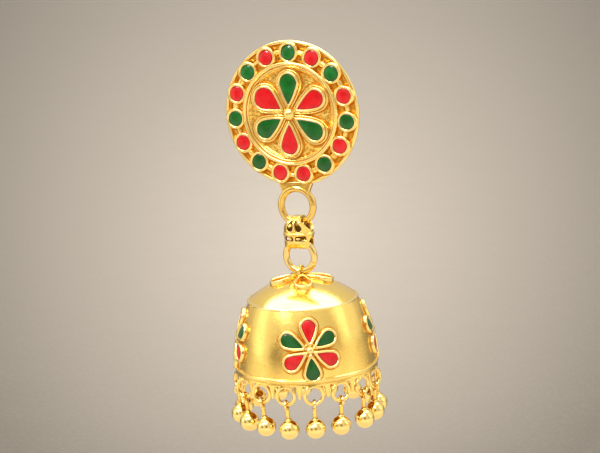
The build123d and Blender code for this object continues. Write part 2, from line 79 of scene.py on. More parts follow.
FLOWER_MID_Z, FLOWER_LENGTH, FLOWER_WIDTH, FLOWER_TIP = -34.43, 3.40, 1.92, 1.15
FLOWER_WALL, FLOWER_HEIGHT, FLOWER_FLOOR = 0.44, 0.56, 0.16
FLOWER_KNOB_R, FLOWER_KNOB_OUT = 0.60, 0.06
FLOWER_PETALS = [
    (0, "red", 0.98, 1.00), (60, "green", 0.90, 0.98), (118, "red", 0.96, 1.00),
    (177, "green", 0.96, 1.00), (238, "red", 0.96, 1.02), (296, "green", 1.00, 1.03),
]
LOOP_AZ0, LOOP_AT, LOOP_Z, LOOP_R, LOOP_WIRE = 29.2, 10.85, -41.25, 1.39, 0.29
TONGUE_TOP, TONGUE_END, TONGUE_LENGTH, TONGUE_T = 1.05, 0.40, 2.20, 0.44
DROP_EYE_R, DROP_EYE_WIRE, STEM_R, BALL_R, BALL_BELOW = 0.60, 0.22, 0.30, 1.50, 3.86
LOOPS = [
    (1, 2, 1.5, 0.0), (2, 0, 2.0, 3.0), (3, 0, -1.0, -1.5), (4, -18, 2.0, 2.0),
    (5, -6, 0.0, 1.5), (6, 5, -2.0, -2.0), (7, 0, 1.5, 2.5), (8, -7, 1.0, 0.0),
    (9, 4, -1.5, -1.5), (10, 8, 2.5, 1.0), (11, -4, 0.0, -2.5), (12, 6, -1.0, 2.0),
    (13, 16, 1.0, -1.0), (14, 30, -2.0, -8.0), (15, 16, 1.5, -6.0), (16, -2, -1.0, -4.3),
]

# ---------------------------------------------------------------- numbers that wander, always the same way
LATTICE = np.random.RandomState(11).uniform(-1, 1, (6, 24, 24, 24))


def noise(p, size, k=0):
    """Smooth noise from -1 to 1 at points p, with cells of that size."""
    turn = np.array([[0.36, 0.48, -0.8], [-0.8, 0.6, 0.0], [0.48, 0.64, 0.6]])
    q = np.asarray(p, float) @ turn / size + 57.3 + 3.1 * k
    i = np.floor(q).astype(int)
    f = q - i
    f = f * f * f * (f * (f * 6 - 15) + 10)
    lat = LATTICE[k % 6]
    x, y, z = f[:, 0], f[:, 1], f[:, 2]

    def at(a, b, c):
        return lat[(i[:, 0] + a) % 24, (i[:, 1] + b) % 24, (i[:, 2] + c) % 24]

    low = (at(0, 0, 0) * (1 - x) + at(1, 0, 0) * x) * (1 - y) + (at(0, 1, 0) * (1 - x) + at(1, 1, 0) * x) * y
    high = (at(0, 0, 1) * (1 - x) + at(1, 0, 1) * x) * (1 - y) + (at(0, 1, 1) * (1 - x) + at(1, 1, 1) * x) * y
    return low * (1 - z) + high * z


def smax(a, b, k):
    """The larger of two heights, with a fillet of about k between them."""
    h = np.maximum(k - np.abs(a - b), 0) / k
    return np.maximum(a, b) + h * h * k / 4


def step(x, low, high):
    t = np.clip((x - low) / (high - low), 0, 1)
    return t * t * (3 - 2 * t)


# ---------------------------------------------------------------- drop-shaped outlines
def drop_parts(length, width):
    small = width / 2
    reach = length - small
    side = small * 8
    cy = (reach**2 + 2 * side * small - small**2) / (2 * reach)
    return small, reach, side, math.sqrt(side**2 - cy**2), cy


def drop_distance(x, y, length, width):
    """Signed distance to a drop outline with its point at 0, 0 and its round end towards +y."""
    small, reach, side, cx, cy = drop_parts(length, width)
    ax = np.abs(x)
    vx, vy = ax + cx, y - cy
    round_end = cx * vy - (reach - cy) * vx > 0
    return np.where(round_end, np.hypot(ax, y - reach) - small, np.hypot(vx, vy) - side)


def drop_line(length, width, grow, count):
    """count points round the outline grown by grow, starting at its point."""
    small, reach, side, cx, cy = drop_parts(length, width)
    big, round_r = side + grow, small + grow
    tip = cy - math.sqrt(big**2 - cx**2)
    a0 = math.atan2(tip - cy, cx)
    a1 = math.atan2(reach - cy, cx)
    dense = []
    for a in np.linspace(a0, a1, 200):
        dense.append((-cx + big * math.cos(a), cy + big * math.sin(a)))
    for a in np.linspace(a1, math.pi - a1, 200)[1:]:
        dense.append((round_r * math.cos(a), reach + round_r * math.sin(a)))
    dense += [(-x, y) for x, y in dense[:200][::-1]][1:]
    d = np.array(dense)
    run = np.concatenate([[0], np.cumsum(np.hypot(*np.diff(d, axis=0).T))])
    at = np.linspace(0, run[-1], count, endpoint=False)
    return np.stack([np.interp(at, run, d[:, 0]), np.interp(at, run, d[:, 1])], 1)


# ---------------------------------------------------------------- meshes as arrays
def grid_faces(rows, cols, wrap_cols=False, start=0):
    """Quads of a rows by cols grid of vertices."""
    r, c = np.meshgrid(np.arange(rows - 1), np.arange(cols if wrap_cols else cols - 1), indexing="ij")
    n = (c + 1) % cols
    return np.stack([r * cols + c, r * cols + n, (r + 1) * cols + n, (r + 1) * cols + c], -1).reshape(-1, 4) + start


def fan(ring, centre, flip=False):
    n = np.roll(ring, -1)
    tri = np.stack([ring, n, np.full(len(ring), centre)], 1)
    return tri[:, ::-1] if flip else tri


def joined(parts):
    """One (verts, quads, tris) from several."""
    v, q, t, n = [], [], [], 0
    for verts, quads, tris in parts:
        v.append(verts)
        if len(quads):
            q.append(np.asarray(quads) + n)
        if len(tris):
            t.append(np.asarray(tris) + n)
        n += len(verts)
    return (
        np.concatenate(v),
        np.concatenate(q) if q else np.zeros((0, 4), int),
        np.concatenate(t) if t else np.zeros((0, 3), int),
    )


def frame_of(axis):
    axis = np.array(axis, float)
    axis /= np.linalg.norm(axis)
    side = np.cross(axis, (0, 0, 1) if abs(axis[2]) < 0.9 else (1, 0, 0))
    side /= np.linalg.norm(side)
    return side, np.cross(axis, side), axis


def ring_tube(centre, axis, ring_r, wire_r, around, sides, wobble=0.0, seam=None, flat=1.0):
    """A wire ring. wobble roughs its radius, seam is the angle of its butt joint."""
    u, v, w = frame_of(axis)
    a = np.linspace(0, 2 * np.pi, around, endpoint=False)
    b = np.linspace(0, 2 * np.pi, sides, endpoint=False)
    A, B = np.meshgrid(a, b, indexing="ij")
    radial = np.cos(A)[..., None] * u + np.sin(A)[..., None] * v
    p0 = np.array(centre) + ring_r * radial
    r = np.full(A.shape, float(wire_r))
    if wobble:
        r = r * (1 + wobble * noise(p0.reshape(-1, 3), wire_r * 3.2, 1).reshape(A.shape))
    if seam is not None:
        off = (A - seam + np.pi) % (2 * np.pi) - np.pi
        r = r - 0.07 * np.exp(-((off * ring_r / 0.05) ** 2))
    p = p0 + (r * np.cos(B))[..., None] * radial + (r * np.sin(B) * flat)[..., None] * w
    q = grid_faces(around + 1, sides, True).reshape(-1, 4) % (around * sides)
    return p.reshape(-1, 3), q[:, ::-1], np.zeros((0, 3), int)


def lathe(profile, centre, axis, around, close_ends=True):
    """A turned solid: profile rows of (radius, along the axis), first and last on the axis if radius is 0."""
    u, v, w = frame_of(axis)
    a = np.linspace(0, 2 * np.pi, around, endpoint=False)
    pr = np.asarray(profile, float)
    body = pr[1:-1]
    p = (
        np.array(centre)
        + body[:, None, 0, None] * (np.cos(a)[:, None] * u + np.sin(a)[:, None] * v)[None]
        + body[:, None, 1, None] * w
    ).reshape(-1, 3)
    n = len(body)
    quads = grid_faces(n, around, True)
    ends = np.array([np.array(centre) + pr[0, 1] * w, np.array(centre) + pr[-1, 1] * w])
    first = fan(np.arange(around), n * around, flip=True)
    last = fan(np.arange(around) + (n - 1) * around, n * around + 1)
    return np.concatenate([p, ends]), quads, np.concatenate([first, last])


def sweep(path, normals, section, closed=True):
    """A closed path of points with a surface normal at each, swept by a section of (side, up) points."""
    t = np.roll(path, -1, 0) - np.roll(path, 1, 0)
    t /= np.linalg.norm(t, axis=1)[:, None]
    n = normals / np.linalg.norm(normals, axis=1)[:, None]
    side = np.cross(n, t)
    side /= np.linalg.norm(side, axis=1)[:, None]
    s = np.asarray(section, float)
    p = path[:, None] + s[None, :, 0, None] * side[:, None] + s[None, :, 1, None] * n[:, None]
    k = len(s)
    q = grid_faces(len(path) + 1, k, True) % (len(path) * k)
    return p.reshape(-1, 3), q, np.zeros((0, 3), int)


def prism_mesh(outline, low, high, place):
    """A flat outline of (x, y) points given thickness, put in space by place(x, y, h)."""
    o = np.asarray(outline, float)
    n = len(o)
    p = np.concatenate([place(o[:, 0], o[:, 1], np.full(n, low)), place(o[:, 0], o[:, 1], np.full(n, high))])
    mid = o.mean(0)
    ends = np.concatenate([
        place(mid[:1] * 0 + mid[0], mid[1:] * 0 + mid[1], np.array([low])),
        place(mid[:1] * 0 + mid[0], mid[1:] * 0 + mid[1], np.array([high])),
    ])
    i = np.arange(n)
    j = np.roll(i, -1)
    quads = np.stack([i, j, j + n, i + n], 1)
    tris = np.concatenate([fan(i, 2 * n, flip=True), fan(i + n, 2 * n + 1)])
    return np.concatenate([p, ends]), quads, tris


def edges_of(quads, tris):
    e = []
    if len(quads):
        e += [quads[:, [0, 1]], quads[:, [1, 2]], quads[:, [2, 3]], quads[:, [3, 0]]]
    if len(tris):
        e += [tris[:, [0, 1]], tris[:, [1, 2]], tris[:, [2, 0]]]
    e = np.sort(np.concatenate(e), 1)
    return np.unique(e[:, 0].astype(np.int64) * (e.max() + 1) + e[:, 1], return_index=False), e.max() + 1


def neighbours(quads, tris):
    key, base = edges_of(quads, tris)
    a, b = key // base, key % base
    return np.concatenate([a, b]), np.concatenate([b, a])


def averaged(values, a, b, count, degree):
    return np.stack([np.bincount(a, values[b, k], count) / degree for k in range(values.shape[1])], 1)


def smoothed(v, a, b, steps, keep=True, factor=0.5):
    """Evens a skin out. keep holds its size (two opposite passes)."""
    n = len(v)
    degree = np.maximum(np.bincount(a, minlength=n), 1)
    for _ in range(steps):
        v = v + factor * (averaged(v, a, b, n, degree) - v)
        if keep:
            v = v - (factor + 0.03) * (averaged(v, a, b, n, degree) - v)
    return v


def normals_of(v, quads, tris):
    n = np.zeros_like(v)
    for f in (quads, tris):
        if len(f):
            c = np.cross(v[f[:, 2]] - v[f[:, 0]], v[f[:, -1]] - v[f[:, 1]]) if f.shape[1] == 4 else np.cross(
                v[f[:, 1]] - v[f[:, 0]], v[f[:, 2]] - v[f[:, 0]])
            for k in range(f.shape[1]):
                for d in range(3):
                    n[:, d] += np.bincount(f[:, k], c[:, d], len(v))
    return n / np.maximum(np.linalg.norm(n, axis=1), 1e-12)[:, None]


def remeshed(parts, voxel, steps, soften=0):
    """Several closed shells melted into one even skin, as soldered metal is."""
    v, q, t = joined(parts)
    me = bpy.data.meshes.new("melt")
    me.from_pydata(v.tolist(), [], [*q.tolist(), *t.tolist()])
    ob = bpy.data.objects.new("melt", me)
    bpy.context.scene.collection.objects.link(ob)
    mod = ob.modifiers.new("melt", "REMESH")
    mod.mode = "VOXEL"
    mod.voxel_size = voxel
    mod.adaptivity = 0.0
    dg = bpy.context.evaluated_depsgraph_get()
    out = ob.evaluated_get(dg).to_mesh()
    n = len(out.vertices)
    co = np.empty(n * 3, np.float32)
    out.vertices.foreach_get("co", co)
    total = np.empty(len(out.polygons), np.int32)
    out.polygons.foreach_get("loop_total", total)
    start = np.empty(len(out.polygons), np.int32)
    out.polygons.foreach_get("loop_start", start)
    idx = np.empty(len(out.loops), np.int32)
    out.loops.foreach_get("vertex_index", idx)
    quads = np.stack([idx[start[total == 4] + k] for k in range(4)], 1)
    tris = np.stack([idx[start[total == 3] + k] for k in range(3)], 1)
    ob.evaluated_get(dg).to_mesh_clear()
    bpy.data.objects.remove(ob)
    bpy.data.meshes.remove(me)
    v = co.reshape(-1, 3).astype(float)
    a, b = neighbours(quads, tris)
    v = smoothed(v, a, b, steps)
    if soften:
        v = smoothed(v, a, b, soften, keep=False)
    return v, quads, tris


def hollows(v, quads, tris, normals, reach=14):
    """How far each point lies under (+) or over (-) the skin round it, in millimetres."""
    a, b = neighbours(quads, tris)
    even = smoothed(v, a, b, reach, keep=False, factor=0.7)
    return ((even - v) * normals).sum(1)


# ---------------------------------------------------------------- pieces
def piece(name, part, body, material, stands_for=(), reach=14, marks=None):
    """Writes one piece in metres, with its hollows kept for the finish, and rides it on its body."""
    v, quads, tris = part
    me = bpy.data.meshes.new(name)
    me.vertices.add(len(v))
    me.vertices.foreach_set("co", (v * MM).astype(np.float32).ravel())
    nq, nt = len(quads), len(tris)
    me.loops.add(nq * 4 + nt * 3)
    me.loops.foreach_set("vertex_index", np.concatenate([np.asarray(quads).ravel(), np.asarray(tris).ravel()]).astype(np.int32))
    me.polygons.add(nq + nt)
    me.polygons.foreach_set("loop_start", np.concatenate([np.arange(nq) * 4, nq * 4 + np.arange(nt) * 3]).astype(np.int32))
    me.polygons.foreach_set("use_smooth", np.ones(nq + nt, bool))
    me.update(calc_edges=True)
    me.validate()
    shell = bmesh.new()
    shell.from_mesh(me)
    bmesh.ops.recalc_face_normals(shell, faces=shell.faces)
    shell.to_mesh(me)
    shell.free()
    me.update()
    normals = np.empty(len(v) * 3, np.float32)
    me.vertices.foreach_get("normal", normals)
    deep = hollows(v, quads, tris, normals.reshape(-1, 3), reach)
    layer = me.attributes.new("hollow", "FLOAT", "POINT")
    layer.data.foreach_set("value", deep.astype(np.float32))
    for key, values in (marks or {}).items():
        layer = me.attributes.new(key, "FLOAT", "POINT")
        layer.data.foreach_set("value", np.asarray(values, np.float32))
    me.materials.append(material)
    ob = bpy.data.objects.new(name, me)
    bpy.context.scene.collection.objects.link(ob)
    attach(ob, body)
    if stands_for:
        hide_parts(*stands_for)
    return ob


# ---------------------------------------------------------------- finishes
def nodes_of(name):
    mat = bpy.data.materials.new(name)
    mat.use_nodes = True
    tree = mat.node_tree
    shader = tree.nodes["Principled BSDF"]
    return mat, tree, shader


def add(tree, kind, **settings):
    node = tree.nodes.new(kind)
    for key, value in settings.items():
        if key.startswith("in_"):
            node.inputs[int(key[3:])].default_value = value
        else:
            setattr(node, key, value)
    return node


def math_node(tree, operation, a, b=None, clamp=False):
    node = add(tree, "ShaderNodeMath", operation=operation, use_clamp=clamp)
    for i, value in enumerate((a, b)):
        if value is None:
            continue
        if isinstance(value, (int, float)):
            node.inputs[i].default_value = value
        else:
            tree.links.new(value, node.inputs[i])
    return node.outputs[0]


def mapped(tree, value, low, high, to_low, to_high, smooth=True):
    node = add(tree, "ShaderNodeMapRange", interpolation_type="SMOOTHSTEP" if smooth else "LINEAR")
    tree.links.new(value, node.inputs[0])
    for i, x in enumerate((low, high, to_low, to_high)):
        node.inputs[i + 1].default_value = x
    return node.outputs[0]


def mixed(tree, fac, a, b):
    node = add(tree, "ShaderNodeMix", data_type="RGBA")
    if isinstance(fac, (int, float)):
        node.inputs[0].default_value = fac
    else:
        tree.links.new(fac, node.inputs[0])
    for i, value in ((6, a), (7, b)):
        if isinstance(value, tuple):
            node.inputs[i].default_value = (*value, 1)
        else:
            tree.links.new(value, node.inputs[i])
    return node.outputs[2]


def grain(tree, scale, detail=3.0, rough=0.55, stretch=None, turn=None):
    """Noise in the row frame. scale is cells per metre."""
    where = add(tree, "ShaderNodeTexCoord").outputs["Object"]
    if stretch:
        move = add(tree, "ShaderNodeMapping")
        move.inputs["Scale"].default_value = stretch
        if turn:
            move.inputs["Rotation"].default_value = turn
        tree.links.new(where, move.inputs["Vector"])
        where = move.outputs[0]
    node = add(tree, "ShaderNodeTexNoise")
    tree.links.new(where, node.inputs["Vector"])
    node.inputs["Scale"].default_value = scale
    node.inputs["Detail"].default_value = detail
    node.inputs["Roughness"].default_value = rough
    return node.outputs["Fac"]


def gold(name, rough=0.16, grainy=0.10, scratch=0.06, tint=(1.0, 0.72, 0.195), deep=(0.56, 0.20, 0.016), bite=0.05):
    """Yellow gilt metal: paler and smoother on its edges, part polish wear and part painted highlight; browner and
    duller in its hollows, part tarnish and part painted shade.
    """
    mat, tree, shader = nodes_of(name)
    hollow = add(tree, "ShaderNodeAttribute", attribute_name="hollow").outputs["Fac"]
    patches = grain(tree, 420, 2.0)
    fine = grain(tree, 2600, 4.0, 0.6)
    lines = grain(tree, 900, 3.0, 0.7, stretch=(1.0, 7.0, 7.0), turn=(0.4, 0.3, 0.9))
    # hollows: browner and rougher, part tarnish and part painted shade
    hollow_tarnish_shade = mapped(tree, hollow, 0.006, bite, 0.0, 1.0)
    # crests: paler and smoother, part polish wear and part painted highlight
    crest = mapped(tree, hollow, -0.05, -0.008, 1.0, 0.0)
    warm = mixed(tree, mapped(tree, patches, 0.35, 0.68, 0.0, 0.55), tint, tuple(c * k for c, k in zip(tint, (0.98, 0.93, 0.80))))
    lit = mixed(tree, math_node(tree, "MULTIPLY", crest, 0.5), warm, (1.0, 0.83, 0.38))
    shade = math_node(tree, "MULTIPLY", hollow_tarnish_shade, mapped(tree, fine, 0.25, 0.62, 0.62, 1.0), clamp=True)
    # painted shade inside the link's barrel: dark brown and rougher
    dark = add(tree, "ShaderNodeAttribute", attribute_name="inside_shade").outputs["Fac"]
    tone = mixed(tree, shade, lit, deep)
    # painted shade in the stud's sunk ground: amber-brown
    sunk_shade = add(tree, "ShaderNodeAttribute", attribute_name="sunk_shade").outputs["Fac"]
    tone = mixed(tree, math_node(tree, "MULTIPLY", sunk_shade, mapped(tree, patches, 0.3, 0.7, 0.75, 1.0)), tone, (0.66, 0.30, 0.022))
    tree.links.new(mixed(tree, math_node(tree, "MULTIPLY", dark, mapped(tree, fine, 0.2, 0.7, 0.95, 0.75)), tone, (0.16, 0.062, 0.008)), shader.inputs["Base Color"])
    r = math_node(tree, "ADD", mapped(tree, fine, 0.30, 0.75, rough - 0.03, rough + grainy), math_node(tree, "MULTIPLY", hollow_tarnish_shade, 0.22))
    r = math_node(tree, "ADD", r, mapped(tree, patches, 0.3, 0.7, -0.03, 0.05))
    r = math_node(tree, "ADD", r, math_node(tree, "MULTIPLY", dark, 0.25))
    r = math_node(tree, "SUBTRACT", r, math_node(tree, "MULTIPLY", crest, 0.05), clamp=True)
    tree.links.new(r, shader.inputs["Roughness"])
    bump = add(tree, "ShaderNodeBump")
    bump.inputs["Strength"].default_value = 0.35
    bump.inputs["Distance"].default_value = 0.00002
    height = math_node(tree, "ADD", math_node(tree, "MULTIPLY", fine, grainy * 8), math_node(tree, "MULTIPLY", lines, scratch * 8))
    tree.links.new(height, bump.inputs["Height"])
    tree.links.new(bump.outputs[0], shader.inputs["Normal"])
    shader.inputs["Metallic"].default_value = 1.0
    return mat


def enamel(name, colour, dark, pale, low=0.0):
    """Fired enamel: deep colour, a glassy skin with faint waves and a darker line painted where it meets the wall, as
    shade in that crease.

    low is how much of its dark tone it has in the cells from the stud's foot downwards.
    """
    mat, tree, shader = nodes_of(name)
    edge = add(tree, "ShaderNodeAttribute", attribute_name="edge").outputs["Fac"]
    cloud = grain(tree, 700, 3.0)
    speck = grain(tree, 5200, 2.0, 0.7)
    body = mixed(tree, mapped(tree, cloud, 0.35, 0.70, 0.0, 0.75), colour, dark)
    if low:
        place = add(tree, "ShaderNodeSeparateXYZ")
        tree.links.new(add(tree, "ShaderNodeTexCoord").outputs["Object"], place.inputs[0])
        body = mixed(tree, mapped(tree, place.outputs[2], -0.008, 0.006, low, 0.0), body, dark)
    body = mixed(tree, mapped(tree, speck, 0.66, 0.80, 0.0, 0.35), body, pale)
    # painted shade: a darker line where the enamel meets the wall
    body = mixed(tree, mapped(tree, edge, 0.80, 1.0, 0.0, 0.75), body, tuple(c * 0.55 for c in dark))
    tree.links.new(body, shader.inputs["Base Color"])
    tree.links.new(mapped(tree, speck, 0.3, 0.8, 0.10, 0.30), shader.inputs["Roughness"])
    bump = add(tree, "ShaderNodeBump")
    bump.inputs["Strength"].default_value = 0.30
    bump.inputs["Distance"].default_value = 0.00004
    tree.links.new(math_node(tree, "ADD", cloud, math_node(tree, "MULTIPLY", speck, 0.25)), bump.inputs["Height"])
    tree.links.new(bump.outputs[0], shader.inputs["Normal"])
    shader.inputs["IOR"].default_value = 1.48
    shader.inputs["Specular IOR Level"].default_value = 0.25
    shader.inputs["Coat Weight"].default_value = 0.55
    shader.inputs["Coat Roughness"].default_value = 0.04
    return mat


GOLD = gold("gilt_cast", rough=0.17, grainy=0.09, scratch=0.03, tint=(0.95, 0.68, 0.18))
GOLD_WIRE = gold("gilt_wire", rough=0.13, grainy=0.06, scratch=0.05)
GOLD_SHEET = gold("gilt_sheet", rough=0.21, grainy=0.045, scratch=0.05, bite=0.07)
GOLD_POLISH = gold("gilt_polished", rough=0.16, grainy=0.035, scratch=0.05)
GOLD_RING = gold("gilt_ring", rough=0.15, grainy=0.06, scratch=0.05, tint=(0.80, 0.51, 0.11))
GOLD_INSIDE = gold("gilt_inside", rough=0.30, grainy=0.16, scratch=0.10, tint=(0.95, 0.62, 0.16))
RED = enamel("enamel_red", (0.62, 0.005, 0.009), (0.44, 0.003, 0.005), (0.72, 0.05, 0.04))
GREEN = enamel("enamel_green", (0.001, 0.140, 0.013), (0.001, 0.060, 0.004), (0.01, 0.22, 0.035), low=0.70)
ENAMEL = {"red": RED, "green": GREEN}

# ---------------------------------------------------------------- stud: face in one skin
DOT_NOTES = np.random.RandomState(5).uniform(-1, 1, (15, 5))


def disc_points(n, radius):
    """A square grid of n cells a side bent into a disc, so that its border is the disc's edge."""
    a = np.linspace(-1, 1, n + 1)
    X, Y = np.meshgrid(a, a, indexing="ij")
    wide = np.abs(X) > np.abs(Y)
    big = np.where(wide, X, Y)
    with np.errstate(divide="ignore", invalid="ignore"):
        phi = np.where(wide, np.pi / 4 * np.divide(Y, X, out=np.zeros_like(Y), where=X != 0),
                       np.pi / 2 - np.pi / 4 * np.divide(X, Y, out=np.zeros_like(X), where=Y != 0))
    return (radius * big * np.cos(phi)).ravel(), (radius * big * np.sin(phi)).ravel()


def bead_line(dist, half, top):
    """Height of a round-topped wire wall: dist from its middle line, half its width."""
    d = np.abs(dist)
    round_part = top - half + np.sqrt(np.maximum(half**2 - np.minimum(d, half * 0.97) ** 2, 0))
    return np.where(d < half * 0.93, round_part, round_part - 4.2 * (d - half * 0.93))


def stud_height(x, z):
    """How far the stud's face stands over its back plane."""
    r = np.hypot(x, z)
    p = np.stack([x, z, x * 0], 1)
    ground = 1.20 - 0.75 * (r / RIM_AT) ** 2
    ground = ground - 0.16 * step(r, 6.9, 6.5) - 0.10 * step(r, 7.9, 8.15) * step(r, 10.7, 10.3)
    rough = step(r, 7.15, 6.8)
    ground = ground + rough * (0.050 * noise(p, 0.42, 0) + 0.030 * noise(p, 0.21, 1)) + 0.014 * noise(p, 0.5, 2)
    # concave band just inside the thin wire
    ground = ground + 0.16 * np.exp(-(((r - 6.95) / 0.35) ** 2))
    h = ground
    wander = 0.035 * noise(p, 2.6, 3)
    # the two inner wires and what they stand on
    h = smax(h, np.where(np.abs(r - 7.42) < 0.30, 1.02, 1.02 - 4 * (np.abs(r - 7.42) - 0.30)), 0.18)
    h = smax(h, bead_line(r - INNER_AT - wander, 0.29, INNER_D + INNER_R + 0.01 * noise(p, 1.3, 4)), 0.10)
    h = smax(h, bead_line(r - THIN_AT - wander * 0.6, 0.145, THIN_D + THIN_R), 0.06)
    # round cells, each with its own slight wander, and the solder that bridges them
    a = np.arctan2(x, z)
    cell = np.full_like(x, -9.0)
    for k in range(15):
        n = DOT_NOTES[k]
        at = math.radians(STUD_TURN + k * 24)
        cx, cz = (DOT_RING + 0.04 * n[0]) * math.sin(at) , (DOT_RING + 0.04 * n[0]) * math.cos(at)
        ang = np.arctan2(z - cz, x - cx)
        d = np.hypot(x - cx, z - cz) * (1 + 0.012 * np.sin(2 * ang + 3 * n[1]) + 0.008 * np.sin(3 * ang + 5 * n[2]))
        wall = bead_line(d - 1.36, 0.235, DOT_TOP + 0.03 * n[3])
        wall = np.where(d < 1.30, np.maximum(wall, 0.86), wall)
        skirt = DOT_TOP - 0.36 - 1.15 * np.maximum(d - 1.50, 0) ** 0.8
        cell = np.maximum(cell, np.maximum(wall, skirt))
        # solder bridge to the next cell
        mid = math.radians(STUD_TURN + k * 24 + 12)
        run = (x - DOT_RING * math.sin(mid)) * math.cos(mid) - (z - DOT_RING * math.cos(mid)) * math.sin(mid)
        out = x * math.sin(mid) + z * math.cos(mid) - DOT_RING - 0.10 * n[4]
        cell = np.maximum(cell, 1.12 + 0.06 * n[1] - 0.55 * (out / (0.62 + 0.14 * n[2])) ** 2 - 0.10 * (run / 0.8) ** 2 - 5 * np.maximum(np.abs(run) - 0.62, 0))
    h = smax(h, cell, 0.16)
    # flower: low stepped edge, then the wall that holds the enamel
    for angle, _, length, width, tip in STUD_PETALS:
        t = math.radians(angle + STUD_TURN)
        lx = x * math.cos(t) - z * math.sin(t)
        ly = x * math.sin(t) + z * math.cos(t) - tip
        sd = drop_distance(lx, ly, length, width) + 0.03 * noise(p + angle, 1.1, 5)
        low = bead_line(sd - 0.60, 0.13, PETAL_STEP_TOP + 0.03)
        low = np.maximum(low, np.where(sd < 0.60, PETAL_STEP_TOP - 0.10, -9))
        h = smax(h, low, 0.12)
        wall = bead_line(sd - 0.205, 0.21, PETAL_TOP)
        wall = np.where(sd < 0.15, np.maximum(wall, 1.16), wall)
        h = np.maximum(h, wall)
        h = np.where(sd < 0.02, np.minimum(h, np.maximum(wall, 1.16)), h)
    # the knob
    h = smax(h, np.where(r < 0.97, KNOB_D + np.sqrt(np.maximum(KNOB_R**2 - r**2, 0.0)), KNOB_D + 0.243 - 4 * (r - 0.97)), 0.10)
    # the rim wire
    h = smax(h, RIM_D + np.sqrt(np.maximum(RIM_R**2 - (r - RIM_AT) ** 2, 0.0)) - 4 * np.maximum(RIM_AT - 0.28 - r, 0), 0.05)
    return h


def make_stud_face():
    n = 288
    edge = RIM_AT + RIM_R * math.sin(math.radians(58))
    x, z = disc_points(n, edge)
    h = stud_height(x, z)
    front = np.stack([x, -h, z], 1)
    # border, in order round the disc
    k = np.arange(n + 1)
    idx = lambda i, j: i * (n + 1) + j
    border = np.concatenate([idx(n, k[:-1]), idx(k[::-1][:-1], n), idx(0, k[::-1][:-1]), idx(k[:-1], 0)])
    quads = grid_faces(n + 1, n + 1)
    a = np.arctan2(front[border, 2], front[border, 0])
    rings, faces = [], []
    last = border
    count = len(front)
    wave = 0.02 * np.sin(7 * a + 1.0) + 0.015 * np.sin(13 * a)
    for deg in (74, 92, 112, 134, 158, 180):
        g = math.radians(deg)
        rr = RIM_AT + (RIM_R + wave * 0.4) * math.sin(g)
        dd = RIM_D + RIM_R * math.cos(g)
        rings.append(np.stack([rr * np.cos(a), np.full_like(a, -dd), rr * np.sin(a)], 1))
    rings.append(np.stack([10.77 * np.cos(a), np.full_like(a, -0.08), 10.77 * np.sin(a)], 1))
    rings.append(np.stack([10.69 * np.cos(a), np.full_like(a, -0.0), 10.69 * np.sin(a)], 1))
    for ring in rings:
        new = np.arange(len(ring)) + count
        m = np.roll(np.arange(len(ring)), -1)
        faces.append(np.stack([last, last[m], new[m], new], 1))
        last = new
        count += len(ring)
    # the back: every fourth point of the last ring, then rings inwards
    coarse = last[::4]
    c = len(coarse)
    m = np.roll(np.arange(c), -1)
    ac = np.arctan2(rings[-1][::4, 2], rings[-1][::4, 0])
    backs, tris = [], []
    first = np.arange(c) + count
    for i, rr in enumerate((10.3, 9.4, 8.4, 7.3, 6.1, 4.9, 3.7, 2.6, 1.5, 0.7)):
        p = np.stack([rr * np.cos(ac), np.zeros(c), rr * np.sin(ac)], 1)
        p[:, 1] = -0.05 - 0.03 * noise(p, 1.9, 2)
        backs.append(p)
    for q in range(4):  # fans from the fine ring to the coarse one
        fine = last[(np.arange(c) * 4 + q)]
        fine2 = last[(np.arange(c) * 4 + q + 1) % len(last)]
        tris.append(np.stack([fine, fine2, first if q < 2 else first[m]], 1))
    tris.append(np.stack([first, last[(np.arange(c) * 4 + 2)], first[m]], 1))
    backf = [np.stack([first + i * c, first[m] + i * c, first[m] + (i + 1) * c, first + (i + 1) * c], 1) for i in range(len(backs) - 1)]
    centre = count + len(backs) * c
    tris.append(np.stack([first + (len(backs) - 1) * c, first[m] + (len(backs) - 1) * c, np.full(c, centre)], 1))
    v = np.concatenate([front, *rings, *backs, [[0, -0.05, 0]]])
    q = np.concatenate([quads[:, ::-1], *faces, *backf])
    t = np.concatenate(tris)
    return v, q, t


def outward(part):
    """Turns a closed part's faces outwards."""
    v, q, t = part
    vol = 0.0
    if len(q):
        a, b, c, d = (v[q[:, i]] for i in range(4))
        vol += (np.cross(a, b) * c).sum() + (np.cross(a, c) * d).sum()
    if len(t):
        a, b, c = (v[t[:, i]] for i in range(3))
        vol += (np.cross(a, b) * c).sum()
    return part if vol > 0 else (v, np.asarray(q)[:, ::-1], np.asarray(t)[:, ::-1])


def stud_sunk_shade(v):
    """Painted shade in the sunk ground of the stud's face, most of it in the pockets between the round cells."""
    r, h = np.hypot(v[:, 0], v[:, 2]), -v[:, 1]
    pockets = 0.90 * step(r, 7.90, 8.15) * step(r, 10.75, 10.50) * step(h, 1.08, 0.82)
    field = 0.42 * step(r, 7.0, 6.7) * step(h, 1.34, 1.16)
    return np.where(h > 0.25, np.maximum(pockets, field), 0.0)


stud_skin = make_stud_face()
piece("stud_face", stud_skin, "stud", GOLD, ["stud_plate"], marks={"sunk_shade": stud_sunk_shade(stud_skin[0])})

